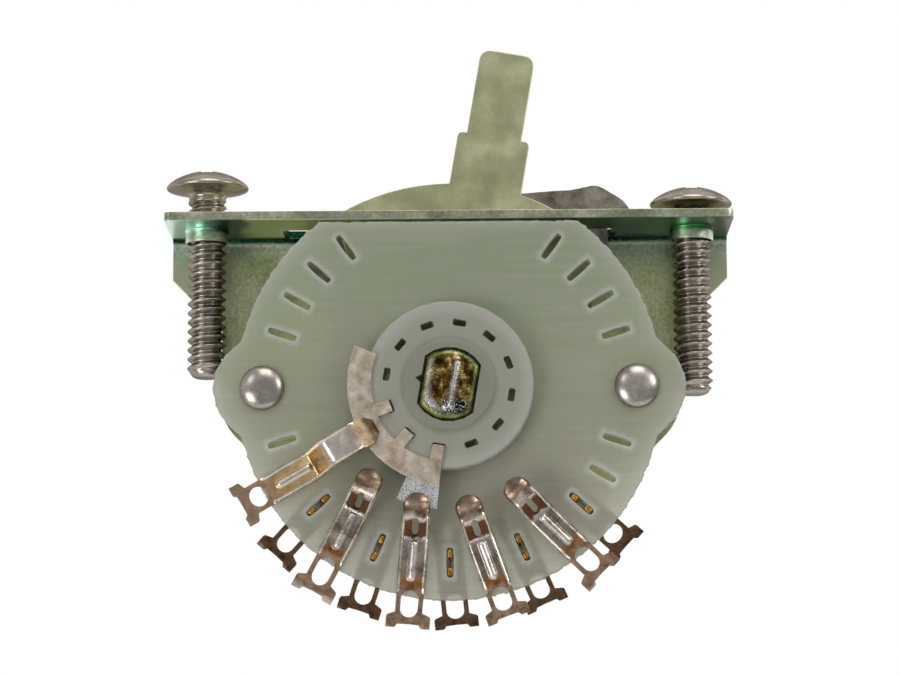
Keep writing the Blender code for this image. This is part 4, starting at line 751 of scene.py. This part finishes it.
# The rotor: natural acetal plastic, moulded, with twelve small slots in its flange for the blades'
# fingers and the shaft pressed through it. The plastic is a milky grey white and a little
# translucent, darker round the hub, where less light comes through.
plastic, tree, shader, at = material("moulded_natural_acetal", 0.0)
distance = from_shaft(tree, at)
ring = node(tree, "MapRange", {0: distance, "From Min": 0.0, "From Max": 7.05 * MM}).outputs[0]
cloudy = node(tree, "TexNoise", {"Vector": at, "Scale": 1 / (2.5 * MM), "Detail": 3.0}).outputs["Fac"]
mixed = node(tree, "Math", {0: cloudy, 1: 0.08, 2: ring}, operation="MULTIPLY_ADD").outputs[0]
colour = node(tree, "ValToRGB", {0: mixed}, stops=[
    (0.45, "#a9a999"), (0.6, "#adad9d"), (0.64, "#bdbdad"), (0.86, "#bfbfaf"), (0.92, "#c9c9bd"),
    (1.0, "#cfcfc4"),
]).outputs[0]
fine = node(tree, "TexNoise", {"Vector": at, "Scale": 1 / (0.2 * MM), "Detail": 2.0}).outputs["Fac"]
finish_off(tree, shader, colour, cloudy, fine, (0.35, 0.45), 0.003 * MM)
shader.inputs["Transmission Weight"].default_value = 0.45
softened("rotor", plastic, "lever", 0.07 * MM)

# The two contact blades: 0.3 mm brass, silver plated, with fingers folded into the rotor's slots. The
# silver has tarnished pink and grey, and is speckled on the tab, which the throw lugs' tips wipe.
# The speckle is drawn 0.13 mm across, so that it shows.
silver, tree, shader, at = material("tarnished_silver_plate_on_brass", 1.0)
distance = from_shaft(tree, at)
clouds = node(tree, "TexNoise", {"Vector": at, "Scale": 1 / (0.8 * MM), "Detail": 4.0}).outputs["Fac"]
grain = node(tree, "TexNoise", {"Vector": at, "Scale": 1 / (0.13 * MM), "Detail": 2.0}).outputs["Fac"]
mixed = node(tree, "Math", {0: grain, 1: 0.5, 2: clouds}, operation="MULTIPLY_ADD").outputs[0]
level = node(tree, "MapRange", {0: mixed, "From Min": 0.5, "From Max": 1.0}).outputs[0]
pink = node(tree, "ValToRGB", {0: level}, stops=[
    (0.0, "#c9ae8c"), (0.4, "#e2d0b8"), (0.7, "#ebdecd"), (1.0, "#fff9f0"),
]).outputs[0]
dots = node(tree, "MapRange", {0: grain, "From Min": 0.36, "From Max": 0.6}).outputs[0]
grey = node(tree, "ValToRGB", {0: dots}, stops=[
    (0.0, "#85868a"), (0.5, "#f2f4f6"), (1.0, "#ffffff"),
]).outputs[0]
on_tab = node(tree, "MapRange", {0: distance, "From Min": 8.1 * MM, "From Max": 9.0 * MM}).outputs[0]
colour = node(tree, "Mix", {0: on_tab, 6: pink, 7: grey}, data_type="RGBA").outputs[2]
finish_off(tree, shader, colour, clouds, grain, (0.26, 0.42), 0.008 * MM)
for side in ("front", "back"):
    softened(f"{side}_blade", silver, "lever", 0.07 * MM)

# The shaft: steel rod with two flats, chromated dark gold, its front end left rough and domed where
# it was staked, and its back end turned down for the retaining ring. The rod's radius is in
# millimetres, and the shaft is turned with the lever, which leans to the right.
ROD_RADIUS = 3.05
TILT = math.radians(9.8)


def flatted(angle):
    """The rod's radius at an angle where it has its flats: the lesser of the round's radius and the
    distance to a flat, with a soft corner between the two."""
    flats = 2.3 * MM / np.maximum(np.abs(np.cos(angle)), 1e-3)
    soft = 0.05
    return -soft * MM * np.log(np.exp(-ROD_RADIUS / soft) + np.exp(-flats / (soft * MM)))


def upset(x, z):
    """The staked face: a ridge beside the middle and a hollow left of it, each from 0 to 1."""
    ridge = smooth(1 - np.abs(x - 0.42 * MM) / (0.62 * MM)) * smooth((2.3 * MM - np.abs(z)) / (0.5 * MM))
    hollow = smooth(1 - np.abs(x + 0.9 * MM) / (0.9 * MM)) * smooth((1.9 * MM - np.abs(z)) / (0.8 * MM))
    return ridge, hollow


def shaft():
    """The shaft along Y: rings of points at a share of the outline, which is the round behind the
    flats and that of the flatted rod ahead of them. Over the front face the share falls to nothing,
    and the height is a low dome with the ridge and the hollow. All is turned with the lever."""
    turned = np.array([
        (0.0, 6.7), (0.3, 6.7), (2.6, 6.7), (2.75, 6.68), (3.03, 6.4), (3.05, 6.36), (3.05, 5.84),
        (3.03, 5.8), (2.58, 5.8), (2.55, 5.77), (2.55, 5.13), (2.58, 5.1), (3.03, 5.1), (3.05, 5.07),
        (3.05, 1.98), (3.03, 1.95),
    ]) / np.array([ROD_RADIUS, 1.0])
    face = np.linspace(0.86, 0.0, 34)
    rows = np.array([(1.0, 1.95), (1.0, 1.9), (1.0, -6.3), (0.99, -6.4), (0.95, -6.6), (0.9, -6.76)])
    dome = np.stack([face, -6.83 - 0.3 * (1 - (face / 0.86) ** 2)], axis=1)
    path = np.vstack([turned, rows, dome])
    angle = np.linspace(0, 2 * np.pi, 112, endpoint=False)
    flat_part = np.arange(len(path))[:, None] >= len(turned)
    r = path[:, :1] * np.where(flat_part, flatted(angle), ROD_RADIUS * MM)
    x, z = r * np.cos(angle), r * np.sin(angle)
    ridge, hollow = upset(x, z)
    inner = smooth((0.86 - path[:, :1]) / 0.12) * flat_part
    y = path[:, 1:] * MM - (0.36 * ridge - 0.2 * hollow) * MM * inner
    x, z = x * math.cos(TILT) + z * math.sin(TILT), z * math.cos(TILT) - x * math.sin(TILT)
    return np.stack([x, y, z - SHAFT_DROP], axis=2)


# Shell is the shaft's outside, pits the dark, speckled part low on the right of its face, and light
# the bright parts: steel that the punch left bare, painted brighter as highlights on the ridge, a spot
# at the lower left and a streak on the left.
mesh = skin("shaft", shaft(), around=True)
co = positions_of(mesh)
across, up = co[:, 0], co[:, 2] + SHAFT_DROP
x, z = across * math.cos(TILT) - up * math.sin(TILT), up * math.cos(TILT) + across * math.sin(TILT)
angle = np.arctan2(z, x)
share = np.hypot(x, z) / flatted(angle)
face = smooth((0.88 - share) / 0.1) * (co[:, 1] < -6.0 * MM)
spot = np.exp(-(((angle + math.radians(128)) / 0.55) ** 2)) * smooth(1 - np.abs(share - 0.74) / 0.2)
streak = 0.45 * smooth(1 - np.abs(x + 1.75 * MM) / (0.4 * MM)) * (np.abs(z) < 1.9 * MM)
store(mesh, "shell", 1 - face)
store(mesh, "pits", smooth((x + 0.5 * MM) / (0.5 * MM)) * smooth((-z - 1.0 * MM) / (0.5 * MM)) * face)
store(mesh, "light", np.maximum(np.maximum(0.6 * upset(x, z)[0] ** 2, spot), streak) * face)

# Chromate on a staked end: dark gold and brown in the torn steel, green on the rod's outside, with
# bright flecks. The flecks are drawn 0.13 mm across, so that they show.
gold, tree, shader, at = material("dark_chromated_steel_rod_staked", 1.0)
clouds = node(tree, "TexNoise", {"Vector": at, "Scale": 1 / (0.8 * MM), "Detail": 5.0}).outputs["Fac"]
speckle = node(tree, "TexNoise", {"Vector": at, "Scale": 1 / (0.13 * MM), "Detail": 2.0}).outputs["Fac"]
level = node(tree, "MapRange", {0: clouds, "From Min": 0.32, "From Max": 0.68}).outputs[0]
flecks = node(tree, "Math", {0: speckle, 1: 1.6, 2: level}, operation="MULTIPLY_ADD").outputs[0]
mixed = node(tree, "MapRange", {0: flecks, "From Min": 0.5, "From Max": 2.1}).outputs[0]
spots = node(tree, "MapRange", {0: speckle, "From Min": 0.36, "From Max": 0.6}).outputs[0]
colour = node(tree, "ValToRGB", {0: mixed}, stops=[
    (0.0, "#1a1006"), (0.4, "#3d2b10"), (0.6, "#6b5122"), (0.8, "#b3a266"), (1.0, "#f1e9c4"),
]).outputs[0]
for name, value, stops in (
    ("shell", level, [(0.0, "#4f5a30"), (0.5, "#7a824e"), (1.0, "#a9ab78")]),
    ("pits", spots, [(0.0, "#0b0a07"), (0.75, "#2c2a22"), (1.0, "#ffffff")]),
    # Light: painted highlights over the bare steel of the ridge, the spot and the streak.
    ("light", spots, [(0.0, "#7d7340"), (0.4, "#fffbe2"), (1.0, "#ffffff")]),
):
    over = node(tree, "ValToRGB", {0: value}, stops=stops).outputs[0]
    mask = node(tree, "Attribute", attribute_name=name).outputs["Fac"]
    colour = node(tree, "Mix", {0: mask, 6: colour, 7: over}, data_type="RGBA").outputs[2]
finish_off(tree, shader, colour, clouds, speckle, (0.2, 0.34), 0.03 * MM)
show("shaft_staked", mesh, gold, "lever", "shaft")

# The retaining ring, pressed from bright sheet, in the shaft's back groove, and the index ball in the
# lever's hole, a hardened and polished steel ball.
softened("retaining_ring", drawn, "lever", 0.05 * MM)


def ball(centre, radius):
    """A ball about Y: rings of points whose size and place follow sine and cosine."""
    polar = np.linspace(0, np.pi, 33)[:, None]
    angle = np.linspace(0, 2 * np.pi, 48, endpoint=False)
    x, z = np.sin(polar) * np.cos(angle), np.sin(polar) * np.sin(angle)
    return np.stack([x, np.cos(polar) + 0 * x, z], axis=2) * radius + centre


low, high = (np.array(corner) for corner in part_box("index_ball"))
mesh = skin("index_ball", ball((low + high) / 2, (high - low).min() / 2), around=True)
show("index_ball_polished", mesh, drawn, "lever", "index_ball")

# The floor: a plain pale disc, 0.2 m under the switch.
floor_mesh = bpy.data.meshes.new("floor")
disc = bmesh.new()
bmesh.ops.create_circle(disc, cap_ends=True, segments=96, radius=0.45)
disc.to_mesh(floor_mesh)
disc.free()
floor = bpy.data.objects.new("floor", floor_mesh)
floor_mesh.transform(Matrix.Translation((0.0, 0.3, -0.2)))
pale_floor, tree, shader, at = material("plain_pale_floor", 0.0)
shader.inputs["Base Color"].default_value = linear("#f2f2f0")
shader.inputs["Roughness"].default_value = 0.9
floor_mesh.materials.append(pale_floor)
bpy.context.scene.collection.objects.link(floor)

# The surround: plain white for the camera. For all other rays it is white behind the switch, so that
# metal and plastic show that white too, and from 0.3 to 0.5 bright in front, which keeps metal dark.
world = bpy.data.worlds.new("studio")
bpy.context.scene.world = world
world.use_nodes = True
tree = world.node_tree
tree.nodes.clear()
direction = node(tree, "TexCoord").outputs["Generated"]
ways = node(tree, "SeparateXYZ", {0: direction}).outputs
behind = node(tree, "MapRange", {0: ways[1], "From Min": 0.0, "From Max": 0.4}).outputs[0]
upward = {"From Min": -0.6, "From Max": 0.9, "To Min": 0.3, "To Max": 0.5}
in_front = node(tree, "MapRange", {0: ways[2], **upward}).outputs[0]
strength = node(tree, "Mix", {0: behind, 2: in_front, 3: 1.0}).outputs[0]
around = node(tree, "Background", {"Color": (1.0, 1.0, 1.0, 1.0), "Strength": strength}).outputs[0]
white = node(tree, "Background", {"Color": (1.0, 1.0, 1.0, 1.0), "Strength": 1.0}).outputs[0]
seen = node(tree, "LightPath").outputs["Is Camera Ray"]
both = node(tree, "MixShader", {0: seen, 1: around, 2: white}).outputs[0]
node(tree, "OutputWorld", {"Surface": both})

# The lamps: four soft boxes, in front of the switch and out of the way of its flat plates' mirror
# images. Each is given by its direction, distance, size and radiance.
SWITCH_MIDDLE = Vector((0.0, 0.0, -0.012))


def soft_box(name, towards, far, size, radiance):
    """A square area light of that size, that far off in a direction from the switch, facing it."""
    light = bpy.data.lights.new(name, "AREA")
    light.size = size
    light.energy = radiance * math.pi * size * size
    lamp = bpy.data.objects.new(name, light)
    aim = Vector(towards).normalized()
    facing = aim.to_track_quat("Z", "Y").to_matrix().to_4x4()
    lamp.matrix_world = Matrix.Translation(SWITCH_MIDDLE + aim * far) @ facing
    bpy.context.scene.collection.objects.link(lamp)


soft_box("low_left", (-0.63, -0.62, -0.39), 0.45, 0.2, 5.0)
soft_box("right", (0.78, -0.45, 0.35), 0.5, 0.2, 4.0)
soft_box("left", (-0.55, -0.65, 0.45), 0.5, 0.16, 2.0)
soft_box("overhead", (0.1, -0.5, 0.85), 0.6, 0.35, 2.4)
